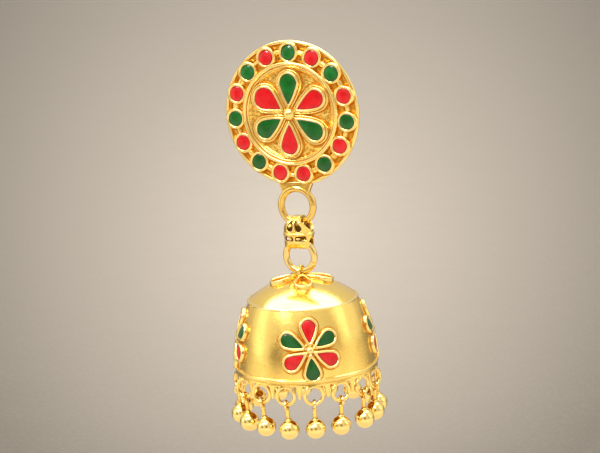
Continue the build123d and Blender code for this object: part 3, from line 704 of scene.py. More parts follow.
# ---------------------------------------------------------------- enamel fills
def fill_part(outline, middle, place, top, low, crown, rings=9, key=0):
    """A crowned pool of enamel inside a flat outline, with its edge drawn down at the wall."""
    n = len(outline)
    t = np.linspace(0, 1, rings + 1)[1:] ** 0.85
    flat = middle + t[:, None, None] * (outline - middle)[None]
    f = flat.reshape(-1, 2)
    tt = np.repeat(t, n)
    wave = noise(np.stack([f[:, 0], f[:, 1], np.full(len(f), key * 3.7)], 1), 0.9, key % 6)
    h = top + crown * (1 - tt**2.2) + 0.018 * wave * (1 - tt**4) - 0.05 * step(tt, 0.90, 1.0)
    upper = place(f[:, 0], f[:, 1], h)
    under = place(outline[:, 0], outline[:, 1], np.full(n, low))
    ends = np.concatenate([
        place(np.array([middle[0]]), np.array([middle[1]]), np.array([top + crown])),
        place(np.array([middle[0]]), np.array([middle[1]]), np.array([low])),
    ])
    v = np.concatenate([upper, under, ends])
    quads = grid_faces(rings + 1, n, True)
    tris = np.concatenate([fan(np.arange(n), rings * n + n, flip=True), fan(rings * n + np.arange(n), rings * n + n + 1)])
    marks = np.concatenate([tt, np.ones(n), [0.0, 1.0]])
    return (v, quads, tris), marks


def fills_piece(name, found, body, colour, node):
    parts = [f[0] for f in found]
    piece(name, joined(parts), body, ENAMEL[colour], [node], reach=4,
          marks={"edge": np.concatenate([f[1] for f in found])})


def make_stud_fills():
    found = {}
    for k, c in enumerate(DOTS):
        colour = {"G": "green", "R": "red"}[c]
        n = DOT_NOTES[k]
        at = math.radians(STUD_TURN + k * 24)
        cx, cz = (DOT_RING + 0.04 * n[0]) * math.sin(at), (DOT_RING + 0.04 * n[0]) * math.cos(at)
        a = np.linspace(0, 2 * np.pi, 40, endpoint=False)
        r = (DOT_FILL_R + 0.075) / (1 + 0.012 * np.sin(2 * a + 3 * n[1]) + 0.008 * np.sin(3 * a + 5 * n[2]))
        out = np.stack([cx + r * np.cos(a), cz + r * np.sin(a)], 1)
        up = max(math.cos(at), 0)
        tip = 0.17 * up + 0.03 * n[4]

        def pool(x, z, h, cz=cz, tip=tip):
            return np.stack([x, -(h - np.where(h > 1.0, tip * (z - cz), 0)), z], 1)

        part = fill_part(out, np.array([cx, cz]), pool, 1.13, 0.82, 0.13 + 0.05 * up + 0.02 * n[3], rings=8, key=k)
        found.setdefault("stud_dots_" + colour, []).append(part)
    for i, (angle, colour, length, width, tip) in enumerate(STUD_PETALS):
        t = math.radians(angle + STUD_TURN)
        ux, uz = np.array([math.cos(t), -math.sin(t)]), np.array([math.sin(t), math.cos(t)])

        def place(x, y, h, ux=ux, uz=uz, tip=tip, lean=0.07 * max(math.cos(t), 0), mid=length * 0.62):
            rise = x * ux[1] + (y - mid) * uz[1]
            return np.stack([x * ux[0] + (y + tip) * uz[0], -(h - np.where(h > 1.4, lean * rise, 0)), x * ux[1] + (y + tip) * uz[1]], 1)

        part = fill_part(drop_line(length, width, 0.06, 84), np.array([0.0, length * 0.62]), place,
                         1.57, 1.22, 0.10, rings=11, key=20 + i)
        found.setdefault("stud_petals_" + colour, []).append(part)
    return found


for node, found in make_stud_fills().items():
    fills_piece("fill_" + node, found, "stud", node.rsplit("_", 1)[1], node)


# ---------------------------------------------------------------- post, hanging ring, link, jump ring
piece("ear_post_turned", lathe([
    (0, 0.02), (1.44, 0.0), (1.50, 0.05), (1.50, 0.28), (1.44, 0.37), (1.30, 0.40), (0.72, 0.42), (0.55, 0.47),
    (0.46, 0.58), (0.41, 0.76), (0.40, 1.1), (0.40, 3.0), (0.40, 5.0), (0.40, 7.0), (0.40, 8.8), (0.40, 9.9),
    (0.385, 10.15), (0.33, 10.34), (0.22, 10.45), (0.10, 10.49), (0, 10.50)], (0, 0, 0), (0, 1, 0), 64),
    "stud", GOLD_WIRE, ["ear_post"])


def make_hanger():
    ring = ring_tube((0, Y_HANG, TOP_RING_Z), (0, 1, 0), TOP_RING_R, TOP_WIRE, 160, 26, wobble=0.02)
    a = np.linspace(math.asin(1.738 / 2.68), -math.asin(1.738 / 2.68), 13)
    low = [(2.68 * math.sin(t), TOP_RING_Z + 2.68 * math.cos(t)) for t in a]
    outline = [(-2.9, -10.62), (-1.4, -10.50), (0, -10.46), (1.4, -10.50), (2.9, -10.62), (2.62, -11.15), (2.22, -12.15), *low,
               (-2.22, -12.15), (-2.62, -11.15)]
    seat = prism_mesh(outline[::-1], 0.13, 0.90, lambda x, y, h: np.stack([x, -h, y], 1))
    v, q, t = remeshed([ring, seat], 0.085, 10, 3)
    v = v + normals_of(v, q, t) * (0.020 * noise(v, 0.8, 2) + 0.008 * noise(v, 0.3, 4))[:, None]
    return v, q, t


piece("stud_hanging_ring", make_hanger(), "stud", GOLD_RING)


def cad_part(node):
    """A CAD node's own mesh as arrays in millimetres."""
    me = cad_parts[node].data
    co = np.empty(len(me.vertices) * 3, np.float32)
    me.vertices.foreach_get("co", co)
    me.calc_loop_triangles()
    idx = np.empty(len(me.loop_triangles) * 3, np.int32)
    me.loop_triangles.foreach_get("vertices", idx)
    return co.reshape(-1, 3).astype(float) / MM, np.zeros((0, 4), int), idx.reshape(-1, 3)


def make_link():
    """The openwork barrel, and how deep each point lies in its inside, which is painted dark as shade."""
    v, q, t = remeshed([cad_part("link")], 0.060, 5, 2)
    v = v + normals_of(v, q, t) * (0.012 * noise(v, 0.7, 3) + 0.006 * noise(v, 0.26, 1))[:, None]
    x, y, z = np.abs(v[:, 0]), np.abs(v[:, 1] - Y_HANG), v[:, 2]
    round_in = (1 - np.hypot(x / LINK_HALF_WIDTH, y / LINK_HALF_DEPTH)) * 2.1
    mid, tall = (LINK_TOP + LINK_BOTTOM) / 2, (LINK_TOP - LINK_BOTTOM) / 2
    cy, cz = y - (LINK_HALF_DEPTH - LINK_CORNER), np.abs(z - mid) - (tall - LINK_CORNER)
    side_in = LINK_CORNER - np.hypot(np.maximum(cy, 0), np.maximum(cz, 0)) - np.minimum(np.maximum(cy, cz), 0)
    front_in = np.interp(-z, [-h for h, _ in LINK_OUTLINE], [w for _, w in LINK_OUTLINE]) - x
    # painted shade: the deeper inside the barrel, the darker
    inside_shade = step(np.minimum(np.minimum(round_in, side_in), front_in), 0.12, 0.46)
    return (v, q, t), inside_shade


link_part, link_inside_shade = make_link()
piece("link_openwork", link_part, "link", GOLD, ["link"], marks={"inside_shade": link_inside_shade})
piece("jump_ring_wire", ring_tube((0, Y_HANG, JUMP_Z), (0, 1, 0), JUMP_R, JUMP_WIRE - 0.01, 260, 28, wobble=0.012, seam=0.35),
      "ring", GOLD_RING, ["jump_ring"])

# ---------------------------------------------------------------- bell: band with its flowers in one skin
half_x, half_z = (SHOULDER_R + BAND_END_R) / 2, (SHOULDER_Z + BAND_END_Z) / 2
half_len = math.hypot(BAND_END_R - SHOULDER_R, BAND_END_Z - SHOULDER_Z) / 2
back_off = math.sqrt(BAND_ARC_R**2 - half_len**2)
BAND_X = half_x - back_off * (SHOULDER_Z - BAND_END_Z) / (2 * half_len)
BAND_Z = half_z - back_off * (BAND_END_R - SHOULDER_R) / (2 * half_len)
BASE_LEAN = math.asin((FLOWER_MID_Z - BAND_Z) / BAND_ARC_R)


def band_at(az, arc, h):
    """A point of the band: azimuth in radians, millimetres up the wall from the flower's middle, height over it."""
    lean = BASE_LEAN + arc / BAND_ARC_R
    radius = BAND_X + (BAND_ARC_R + h) * np.cos(lean)
    return np.stack([radius * np.sin(az), Y_HANG - radius * np.cos(az), BAND_Z + (BAND_ARC_R + h) * np.sin(lean)], -1)


def arc_of(z):
    return (math.asin((z - BAND_Z) / BAND_ARC_R) - BASE_LEAN) * BAND_ARC_R


def flower_height(u, v, key):
    """Height over the band of one flower's settings, u to the right and v up."""
    p = np.stack([u, v, np.full_like(u, key * 9.0)], 1)
    rho = np.hypot(u, v)
    h = np.full_like(u, -2.0)
    base = np.where(rho < 1.02, 0.32, 0.32 - 2.6 * (rho - 1.02))
    h = np.maximum(h, base)
    for angle, _, long, wide in FLOWER_PETALS:
        a = math.radians(angle)
        lx, ly = u * math.cos(a) - v * math.sin(a), u * math.sin(a) + v * math.cos(a) - FLOWER_TIP
        sd = drop_distance(lx, ly, FLOWER_LENGTH * long, FLOWER_WIDTH * wide) + 0.022 * noise(p + angle, 0.9, 5)
        wall = bead_line(sd - 0.215, 0.215, FLOWER_HEIGHT)
        wall = np.where(sd < 0.15, np.maximum(wall, FLOWER_FLOOR), wall)
        h = smax(h, wall, 0.05)
        h = np.where(sd < 0.03, np.minimum(h, np.maximum(wall, FLOWER_FLOOR)), h)
    knob = np.where(rho < 0.58, FLOWER_KNOB_OUT + np.sqrt(np.maximum(FLOWER_KNOB_R**2 - rho**2, 0)), FLOWER_KNOB_OUT + 0.154 - 4 * (rho - 0.58))
    return smax(h, knob, 0.08)


def band_columns():
    """Azimuths round the band, close together across the flowers."""
    out = []
    for k in range(4):
        mid = math.radians(DECOR_AZ + 90 * k)
        half = 4.85 / 10.3
        out += list(mid + np.linspace(-half, half, 121))
        gap0, gap1 = mid + half, mid + math.pi / 2 - half
        out += list(np.linspace(gap0, gap1, 32)[1:-1])
    return np.array(out)


def make_band():
    az = band_columns()
    top, low = arc_of(SHOULDER_Z - 0.02), arc_of(RIM_BEAD_Z + 0.05)
    arcs = np.linspace(top, low, 130)
    A, R = np.meshgrid(arcs, az, indexing="ij")
    a, r = A.ravel(), R.ravel()
    flat = band_at(r, a, np.zeros_like(a))
    sheet = 0.060 * noise(flat, 6.5, 0) + 0.028 * noise(flat, 2.8, 1) + 0.0045 * noise(flat, 0.7, 2)
    h = np.full_like(a, -3.0)
    radius = BAND_X + BAND_ARC_R * np.cos(BASE_LEAN + a / BAND_ARC_R)
    for k in range(4):
        off = (r - math.radians(DECOR_AZ + 90 * k) + np.pi) % (2 * np.pi) - np.pi
        near = np.abs(off) < 0.60
        h[near] = np.maximum(h[near], flower_height(off[near] * radius[near], a[near], k))
    edge = step(a, low + 0.5, low) * 0.0
    h = np.where(h > -0.6, smax(sheet, h, 0.14), sheet) - edge
    outer = band_at(r, a, h)
    n = len(az)
    inner_arcs = np.linspace(low, top, 12)
    A2, R2 = np.meshgrid(inner_arcs, az, indexing="ij")
    inner = band_at(R2.ravel(), A2.ravel(), np.full(A2.size, -0.22))
    v = np.concatenate([outer, inner])
    rows = len(arcs) + len(inner_arcs)
    q = grid_faces(rows + 1, n, True) % (rows * n)
    return v, q, np.zeros((0, 3), int)


piece("bell_band", make_band(), "bell", GOLD_SHEET, ["bell"])


def make_bell_fills():
    for k, side in enumerate(("front", "right", "back", "left")):
        az0 = math.radians(DECOR_AZ + 90 * k)
        found = {"red": [], "green": []}
        for i, (angle, colour, long, wide) in enumerate(FLOWER_PETALS):
            a = math.radians(angle)
            length, width = FLOWER_LENGTH * long, FLOWER_WIDTH * wide

            def place(x, y, h, a=a):
                u = x * math.cos(a) + (y + FLOWER_TIP) * math.sin(a)
                v = -x * math.sin(a) + (y + FLOWER_TIP) * math.cos(a)
                radius = BAND_X + BAND_ARC_R * np.cos(BASE_LEAN + v / BAND_ARC_R)
                return band_at(az0 + u / radius, v, h)

            found[colour].append(fill_part(drop_line(length, width, 0.035, 64), np.array([0.0, length * 0.62]), place,
                                           0.41, 0.20, 0.08, rings=9, key=40 + 7 * k + i))
        for colour in ("red", "green"):
            fills_piece(f"fill_bell_{side}_{colour}", found[colour], "bell", colour, f"bell_{side}_{colour}")


make_bell_fills()

# ---------------------------------------------------------------- bell: cap, crown, eye
CAP_R = (SHOULDER_R**2 + (APEX_Z - SHOULDER_Z) ** 2) / (2 * (APEX_Z - SHOULDER_Z))
CAP_Z = APEX_Z - CAP_R


def cap_at(az, at, h):
    """A point of the cap: azimuth, distance from the axis before lifting, height over it."""
    tilt = np.arcsin(np.clip(at / CAP_R, -1, 1))
    rad = (CAP_R + h) * np.sin(tilt)
    return np.stack([rad * np.sin(az), Y_HANG - rad * np.cos(az), CAP_Z + (CAP_R + h) * np.cos(tilt)], -1)


def make_cap():
    n = 320
    az = np.linspace(0, 2 * np.pi, n, endpoint=False)
    at = np.linspace(0.15, SHOULDER_R + 0.01, 74)
    A, R = np.meshgrid(at, az, indexing="ij")
    flat = cap_at(R.ravel(), A.ravel(), np.zeros(A.size))
    lift = 0.030 * noise(flat, 6.0, 3) + 0.010 * noise(flat, 2.4, 4) + 0.0012 * noise(flat, 0.6, 5)
    outer = cap_at(R.ravel(), A.ravel(), lift)
    at2 = np.linspace(SHOULDER_R - 0.02, 0.6, 9)
    A2, R2 = np.meshgrid(at2, az, indexing="ij")
    inner = cap_at(R2.ravel(), A2.ravel(), np.full(A2.size, -0.24))
    v = np.concatenate([outer, inner, [[0, Y_HANG, APEX_Z], [0, Y_HANG, APEX_Z - 0.24]]])
    rows = len(at) + len(at2)
    q = grid_faces(rows, n, True)
    t = np.concatenate([fan(np.arange(n), rows * n, flip=True), fan((rows - 1) * n + np.arange(n), rows * n + 1)])
    return v, q, t


piece("bell_cap", make_cap(), "bell", GOLD_POLISH)


def make_crown():
    parts = []
    for k in range(4):
        a, s = math.radians(DECOR_AZ + 90 * k), math.radians(CROWN_SLOPE)
        out = np.array([math.sin(a) * math.cos(s), -math.cos(a) * math.cos(s), -math.sin(s)])
        normal = np.array([math.sin(a) * math.sin(s), -math.cos(a) * math.sin(s), math.cos(s)])
        side = np.cross(out, normal)
        start = np.array([0, Y_HANG, APEX_Z + CROWN_LIFT]) + out * CROWN_FROM
        line = drop_line(CROWN_LENGTH - CROWN_WALL, CROWN_WIDTH - 2 * CROWN_WALL, CROWN_WALL / 2, 96)
        path = start + line[:, :1] * side + line[:, 1:] * out
        half, lo, hi, r = CROWN_WALL / 2 - 0.01, -0.40, CROWN_HEIGHT - 0.34, 0.19
        section = []
        for cx, cy, a0 in ((half - r, hi - r, 0), (-half + r, hi - r, 90), (-half + 0.08, lo + 0.08, 180), (half - 0.08, lo + 0.08, 270)):
            rr = r if a0 < 180 else 0.08
            for d in (0, 30, 60, 90):
                g = math.radians(a0 + d)
                section.append((cx + rr * math.cos(g), cy + rr * math.sin(g)))
        parts.append(sweep(path, np.repeat(normal[None], len(path), 0), section))
        tip = np.array([0, Y_HANG, APEX_Z + CROWN_LIFT]) + out * CROWN_LEAF_TIP
        parts.append(prism_mesh(
            drop_line(CROWN_LEAF_LENGTH, CROWN_LEAF_WIDTH, 0, 60), -0.46, CROWN_LEAF_TOP - 0.01,
            lambda x, y, h, tip=tip, side=side, out=out, normal=normal: tip + x[:, None] * side - y[:, None] * out + h[:, None] * normal))
    n = 120
    az = np.linspace(0, 2 * np.pi, n, endpoint=False)
    at = np.linspace(0.1, 5.1, 26)
    A, R = np.meshgrid(at, az, indexing="ij")
    upper = cap_at(R.ravel(), A.ravel(), np.full(A.size, -0.055))
    A2, R2 = np.meshgrid(at[::-1], az, indexing="ij")
    lower = cap_at(R2.ravel(), A2.ravel(), np.full(A2.size, -0.40))
    v = np.concatenate([upper, lower, [[0, Y_HANG, APEX_Z - 0.055], [0, Y_HANG, APEX_Z - 0.40]]])
    rows = len(at) * 2
    dome = (v, grid_faces(rows, n, True), np.concatenate([fan(np.arange(n), rows * n, flip=True), fan((rows - 1) * n + np.arange(n), rows * n + 1)]))
    cells = remeshed([*parts, dome], 0.086, 5, 3)
    v, q, t = cells
    v = v + normals_of(v, q, t) * (0.014 * noise(v, 0.8, 1))[:, None]
    # clear of the jump ring's wire
    dy, dz = v[:, 1] - Y_HANG, v[:, 2] + 24.51
    d = np.hypot(dy, dz)
    push = (d < 0.66) & (np.abs(v[:, 0]) < 2.2)
    v[push, 1] += dy[push] / d[push] * (0.66 - d[push])
    v[push, 2] += dz[push] / d[push] * (0.66 - d[push])
    eye = ring_tube((0, Y_HANG, EYE_Z), (1, 0, 0), EYE_R, EYE_WIRE, 80, 20, wobble=0.03)
    ball = lathe([(0, -GRANULE_R), *[(GRANULE_R * math.sin(g), -GRANULE_R * math.cos(g)) for g in np.linspace(0.12, math.pi - 0.12, 18)], (0, GRANULE_R)],
                 (0, Y_HANG, APEX_Z + 0.02), (0, 0, 1), 32)
    top = remeshed([eye, ball], 0.055, 6, 1)
    return joined([(v, q, t), top])


piece("bell_crown", make_crown(), "bell", GOLD_WIRE)
piece("bell_shoulder_wire", ring_tube((0, Y_HANG, SHOULDER_Z), (0, 0, 1), SHOULDER_R - 0.04, 0.19, 420, 14, wobble=0.05),
      "bell", GOLD_WIRE)


def make_lining():
    inner_cap = CAP_R - WALL
    rows = [(0, CAP_Z + inner_cap)]
    for at in np.linspace(0.4, SHOULDER_R - 0.62, 22):
        rows.append((at, CAP_Z + math.sqrt(inner_cap**2 - at**2)))
    for z in np.linspace(SHOULDER_Z - 0.55, BAND_END_Z, 40):
        rows.append((BAND_X + math.sqrt((BAND_ARC_R - WALL) ** 2 - (z - BAND_Z) ** 2), z))
    for z in np.linspace(BAND_END_Z, SHOULDER_Z - 0.25, 18):
        rows.append((BAND_X + math.sqrt((BAND_ARC_R - 0.16) ** 2 - (z - BAND_Z) ** 2), z))
    for at in np.linspace(SHOULDER_R - 0.30, 0.5, 14):
        rows.append((at, CAP_Z + math.sqrt((CAP_R - 0.17) ** 2 - at**2)))
    rows.append((0, CAP_Z + CAP_R - 0.17))
    v, q, t = lathe(rows, (0, Y_HANG, 0), (0, 0, 1), 200)
    inside = np.hypot(v[:, 0], v[:, 1] - Y_HANG) < 10.45
    v = v + normals_of(v, q, t) * (inside * 0.035 * noise(v, 3.0, 2))[:, None]
    return v, q, t


piece("bell_lining", make_lining(), "bell", GOLD_INSIDE)


# ---------------------------------------------------------------- bell: rim wires, loops and tongues
def loop_frame(number, turn):
    az = math.radians(LOOP_AZ0 + (number - 1) * 22.5)
    a = az + math.radians(turn)
    centre = np.array([LOOP_AT * math.sin(az), Y_HANG - LOOP_AT * math.cos(az), LOOP_Z])
    return centre, np.array([math.cos(a), math.sin(a), 0]), np.array([math.sin(a), -math.cos(a), 0])


def make_rim():
    parts = [
        ring_tube((0, Y_HANG, RIM_BEAD_Z), (0, 0, 1), RIM_BEAD_AT, RIM_BEAD_R, 360, 22),
        ring_tube((0, Y_HANG, LOW_WIRE_Z), (0, 0, 1), RIM_BEAD_AT, LOW_WIRE_R, 360, 16),
    ]
    n = 240
    a = np.linspace(0, 2 * np.pi, n, endpoint=False)
    rows = []
    for r, z in ((10.56, -39.02), (10.98, -39.02), (10.98, -39.66), (10.56, -39.66)):
        rows.append(np.stack([r * np.sin(a), Y_HANG - r * np.cos(a), np.full(n, z)], 1))
    parts.append((np.concatenate(rows), grid_faces(5, n, True) % (4 * n), np.zeros((0, 3), int)))
    for number, turn, _, _ in LOOPS:
        centre, side, out = loop_frame(number, turn)
        parts.append(ring_tube(centre, out, LOOP_R, LOOP_WIRE, 72, 18))
        half = math.radians(LOOP_AZ0 + (number - 1) * 22.5 + 11.25)
        c = np.array([LOOP_AT * math.sin(half), Y_HANG - LOOP_AT * math.cos(half), LOW_WIRE_Z + 0.12])
        s = np.array([math.cos(half), math.sin(half), 0])
        o = np.array([math.sin(half), -math.cos(half), 0])
        w0, w1, ln = TONGUE_TOP / 2, TONGUE_END / 2, TONGUE_LENGTH + 0.1
        line = [(-w0, 0), (-w0 * 0.72, -ln * 0.3), (-w1, -ln * 0.75), (-w1 * 0.7, -ln), (w1 * 0.7, -ln), (w1, -ln * 0.75), (w0 * 0.72, -ln * 0.3), (w0, 0)]
        parts.append(prism_mesh(line, -TONGUE_T / 2, TONGUE_T / 2, lambda x, y, h, c=c, s=s, o=o: c + x[:, None] * s + y[:, None] * np.array([0, 0, 1.0]) + h[:, None] * o))
    v, q, t = remeshed(parts, 0.096, 5, 1)
    nr = normals_of(v, q, t)
    return v + nr * (0.010 * noise(v, 0.9, 2) + 0.006 * noise(v, 0.35, 3))[:, None], q, t


piece("bell_rim", make_rim(), "bell", GOLD_WIRE, reach=8)


# ---------------------------------------------------------------- drops
def make_drop(number, turn, swing, lean):
    rng = np.random.RandomState(300 + number)
    ball = []
    for g in np.linspace(0.10, math.pi - 0.42, 26):
        ball.append((BALL_R * math.sin(g), -BALL_BELOW - BALL_R * math.cos(g) * (1 - 0.012 * (1 - math.sin(g)))))
    top = -BALL_BELOW + BALL_R
    rows = [(0, -BALL_BELOW - BALL_R + 0.01), *ball, (0.50, top - 0.06), (0.50, top + 0.02), (0.46, top + 0.12), (0.37, top + 0.17), (0.32, top + 0.24),
            (STEM_R, top + 0.38), (STEM_R - 0.01, top + 0.9), (STEM_R, -1.05), (0.33, -0.86), (0.34, -0.74), (0.27, -0.62), (0, -0.58)]
    stem = lathe(rows, (0, 0, 0), (0, 0, 1), 44)
    v = stem[0]
    v = v * (1 + 0.004 * noise(v + number * 7, 1.1, 1))[:, None]
    bend = np.clip((-0.7 - v[:, 2]) / 1.7, 0, 1)
    v[:, 0] += 0.05 * rng.uniform(-1, 1) * np.sin(np.pi * bend)
    stem = (v, stem[1], stem[2])
    eye = ring_tube((0, 0, -0.03), (1, 0, 0), DROP_EYE_R, DROP_EYE_WIRE, 44, 14, wobble=0.03)
    v, q, t = joined([stem, eye])
    s, l = math.radians(swing), math.radians(lean)
    rx = np.array([[1, 0, 0], [0, math.cos(s), -math.sin(s)], [0, math.sin(s), math.cos(s)]])
    ry = np.array([[math.cos(l), 0, math.sin(l)], [0, 1, 0], [-math.sin(l), 0, math.cos(l)]])
    v = v @ (rx @ ry).T
    centre, side, out = loop_frame(number, turn)
    hold = centre - np.array([0, 0, LOOP_R])
    inward = np.cross((0, 0, 1), side)
    return hold + v[:, :1] * side + v[:, 1:2] * inward + v[:, 2:] * np.array([0, 0, 1.0]), q, t


for row in LOOPS:
    piece(f"drop_{row[0]:02d}", make_drop(*row), "bell", GOLD_POLISH, [f"ghungroo_{row[0]:02d}"], reach=5)

# ---------------------------------------------------------------- floor, light and camera
def make_floor():
    n = 96
    a = np.linspace(0, 2 * np.pi, n, endpoint=False)
    rows = [np.stack([r * np.cos(a), r * np.sin(a), np.full(n, -105.0)], 1) for r in (40, 120, 250, 500, 1000, 2200, 5000, 12000)]
    v = np.concatenate([*rows, [[0, 0, -105.0]]])
    q = grid_faces(len(rows), n, True)
    t = fan(np.arange(n), len(v) - 1, flip=True)
    return v, q, t


# painted pool of light on the floor: lit tone in the middle of the view, dim tone towards its edges
FLOOR_POOL_LIT, FLOOR_POOL_DIM = (0.376, 0.331, 0.283), (0.130, 0.115, 0.094)


def floor_finish():
    """Pale paper with a pool of light painted on it round the middle of the view and round the earring, with a white
    card laid out in front and a gap in it.
    """
    mat, tree, shader = nodes_of("pale_paper")
    soft = grain(tree, 60, 3.0)
    fibre = grain(tree, 1500, 4.0, 0.7)
    where = add(tree, "ShaderNodeTexCoord").outputs["Object"]

    def along(vector, at=(0.0, 0.0)):
        """How far a floor point lies along a flat direction, in metres, counted from at."""
        move = add(tree, "ShaderNodeVectorMath", operation="SUBTRACT")
        tree.links.new(where, move.inputs[0])
        move.inputs[1].default_value = (*at, 0)
        dot = add(tree, "ShaderNodeVectorMath", operation="DOT_PRODUCT")
        tree.links.new(move.outputs["Vector"], dot.inputs[0])
        dot.inputs[1].default_value = (*vector, 0)
        return dot.outputs["Value"]

    # painted pool of light: lighter near the middle of the view, darker towards its edges, a touch darker close in
    # front
    a = math.radians(25.174)
    stand = (0.2319 * math.sin(a), -0.2319 * math.cos(a))
    ahead = math_node(tree, "MAXIMUM", along((-math.sin(a), math.cos(a)), stand), 0.05)
    across = math_node(tree, "DIVIDE", along((math.cos(a), math.sin(a)), stand), ahead)
    down = math_node(tree, "SUBTRACT", math_node(tree, "DIVIDE", 0.1322, ahead), 0.194)
    off = math_node(tree, "SQRT", math_node(tree, "ADD", math_node(tree, "MULTIPLY", across, across), math_node(tree, "MULTIPLY", down, down)))
    tone = mixed(tree, mapped(tree, off, 0.0, 0.245, 0.0, 1.0, smooth=False), FLOOR_POOL_LIT, FLOOR_POOL_DIM)
    dim = mapped(tree, ahead, 0.35, 0.42, 0.04, 0.0)
    tone = mixed(tree, dim, tone, (0.0, 0.0, 0.0))
    aim = add(tree, "ShaderNodeVectorMath", operation="NORMALIZE")
    tree.links.new(where, aim.inputs[0])
    side = add(tree, "ShaderNodeVectorMath", operation="DOT_PRODUCT")
    tree.links.new(aim.outputs["Vector"], side.inputs[0])
    side.inputs[1].default_value = (math.sin(a), -math.cos(a), 0)
    front = math_node(tree, "MULTIPLY", mapped(tree, side.outputs["Value"], -0.60, -0.25, 0.0, 1.0), mapped(tree, along((math.sin(a), -math.cos(a))), -0.30, 0.12, 0.35, 1.0))
    tone = mixed(tree, front, tone, (0.56, 0.50, 0.43))
    dot = add(tree, "ShaderNodeVectorMath", operation="DOT_PRODUCT")
    tree.links.new(aim.outputs["Vector"], dot.inputs[0])
    dot.inputs[1].default_value = (math.sin(math.radians(-25)), -math.cos(math.radians(-25)), 0)
    gap = mapped(tree, dot.outputs["Value"], math.cos(math.radians(20)), math.cos(math.radians(7)), 0.0, 0.70)
    tone = mixed(tree, math_node(tree, "MULTIPLY", gap, front), tone, (0.15, 0.11, 0.07))
    tone = mixed(tree, mapped(tree, soft, 0.3, 0.7, 0.0, 0.06), tone, (0.20, 0.18, 0.155))
    tone = mixed(tree, mapped(tree, fibre, 0.45, 0.7, 0.0, 0.06), tone, (0.60, 0.56, 0.50))
    # painted pool of light: the floor is drawn lighter within about 60 to 130 mm of the earring
    away = add(tree, "ShaderNodeVectorMath", operation="LENGTH")
    flat = add(tree, "ShaderNodeVectorMath", operation="MULTIPLY")
    tree.links.new(where, flat.inputs[0])
    flat.inputs[1].default_value = (1, 1, 0)
    tree.links.new(flat.outputs["Vector"], away.inputs[0])
    near = mapped(tree, away.outputs["Value"], 0.060, 0.130, 1.0, 0.0)
    tree.links.new(mixed(tree, near, tone, (0.46, 0.42, 0.37)), shader.inputs["Base Color"])
    shader.inputs["Roughness"].default_value = 0.9
    shader.inputs["Specular IOR Level"].default_value = 0.15
    return mat


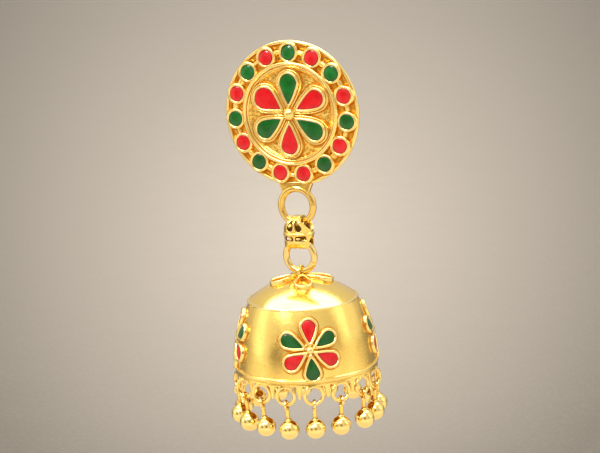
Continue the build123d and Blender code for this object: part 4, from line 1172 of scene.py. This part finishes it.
def make_world():
    """A light tent: white all round, brightest overhead in front, with the dim gap that the camera looks in through."""
    world = bpy.data.worlds.new("light_tent")
    bpy.context.scene.world = world
    world.use_nodes = True
    tree = world.node_tree
    back = tree.nodes["Background"]
    look = add(tree, "ShaderNodeTexCoord").outputs["Generated"]

    def toward(az, el, inner, outer):
        """1 within inner degrees of that direction, 0 beyond outer."""
        a, e = math.radians(az), math.radians(el)
        dot = add(tree, "ShaderNodeVectorMath", operation="DOT_PRODUCT")
        tree.links.new(look, dot.inputs[0])
        dot.inputs[1].default_value = (math.sin(a) * math.cos(e), -math.cos(a) * math.cos(e), math.sin(e))
        return mapped(tree, dot.outputs["Value"], math.cos(math.radians(outer)), math.cos(math.radians(inner)), 0.0, 1.0)

    z = add(tree, "ShaderNodeSeparateXYZ")
    tree.links.new(look, z.inputs[0])
    up = mapped(tree, z.outputs[2], -0.10, 0.75, 0.0, 1.0)
    tone = mixed(tree, up, (0.66, 0.58, 0.47), (0.80, 0.77, 0.73))
    for az, el, inner, outer, colour in (
        (22, 16, 26, 50, (0.86, 0.81, 0.76)),
        (27, 13, 7, 19, (0.28, 0.22, 0.15)),
        (-25, 1, 7, 18, (0.32, 0.25, 0.18)),
        (95, 10, 5, 16, (0.60, 0.48, 0.34)),
        (-64, 22, 14, 36, (1.0, 0.96, 0.90)),
        (122, 24, 12, 34, (1.05, 1.0, 0.94)),
        (205, 84, 14, 22, (5.2, 5.15, 5.0)),
        (152, 62, 11, 19, (5.0, 4.95, 4.8)),
        (258, 62, 11, 19, (5.0, 4.95, 4.8)),
        (205, 66, 10, 18, (5.0, 4.95, 4.8)),
        (-24, 40, 5, 9, (26.0, 25.6, 25.0)),
        (20, 52, 6, 16, (3.2, 3.15, 3.05)),
    ):
        tone = mixed(tree, toward(az, el, inner, outer), tone, colour)
    tree.links.new(tone, back.inputs["Color"])
    back.inputs["Strength"].default_value = 1.0


def softbox(name, az, el, distance, size, power, aim=(0, 0, -20)):
    data = bpy.data.lights.new(name, "AREA")
    data.shape = "RECTANGLE"
    data.size, data.size_y = size[0] * MM, size[1] * MM
    data.energy = power
    ob = bpy.data.objects.new(name, data)
    bpy.context.scene.collection.objects.link(ob)
    a, e = math.radians(az), math.radians(el)
    at = Vector(aim) + distance * Vector((math.sin(a) * math.cos(e), -math.cos(a) * math.cos(e), math.sin(e)))
    ob.location = at * MM
    ob.rotation_euler = (at - Vector(aim)).to_track_quat("Z", "Y").to_euler()
    return ob


def make_camera():
    az = math.radians(25.174)
    eye = Vector((231.887 * math.sin(az), -231.887 * math.cos(az), 27.16))
    aim = Vector((0.0, 0.0, -17.6))
    forward = (aim - eye).normalized()
    right = forward.cross(Vector((0, 0, 1))).normalized()
    up = right.cross(forward)
    roll = math.radians(3.5)
    x = right * math.cos(roll) - up * math.sin(roll)
    y = right * math.sin(roll) + up * math.cos(roll)
    data = bpy.data.cameras.new("photo_view")
    data.sensor_width = 36.0
    data.lens = 92.0
    data.clip_start, data.clip_end = 0.01, 30.0
    camera = bpy.data.objects.new("photo_view", data)
    bpy.context.scene.collection.objects.link(camera)
    m = Matrix((x, y, -forward)).transposed().to_4x4()
    m.translation = eye * MM
    camera.matrix_world = m
    bpy.context.scene.camera = camera


floor_mesh = bpy.data.meshes.new("floor")
fv, fq, ft = make_floor()
floor_mesh.from_pydata((fv * MM).tolist(), [], [*fq.tolist(), *ft.tolist()])
floor_mesh.materials.append(floor_finish())
floor = bpy.data.objects.new("floor", floor_mesh)
bpy.context.scene.collection.objects.link(floor)
make_world()
softbox("key", 10, 55, 420, (260, 200), 0.45)
softbox("side_left", -62, 18, 380, (160, 300), 0.08)
softbox("side_right", 100, 22, 380, (140, 300), 0.08)
make_camera()
bpy.context.scene.view_settings.view_transform = "Standard"
bpy.context.scene.view_settings.look = "None"
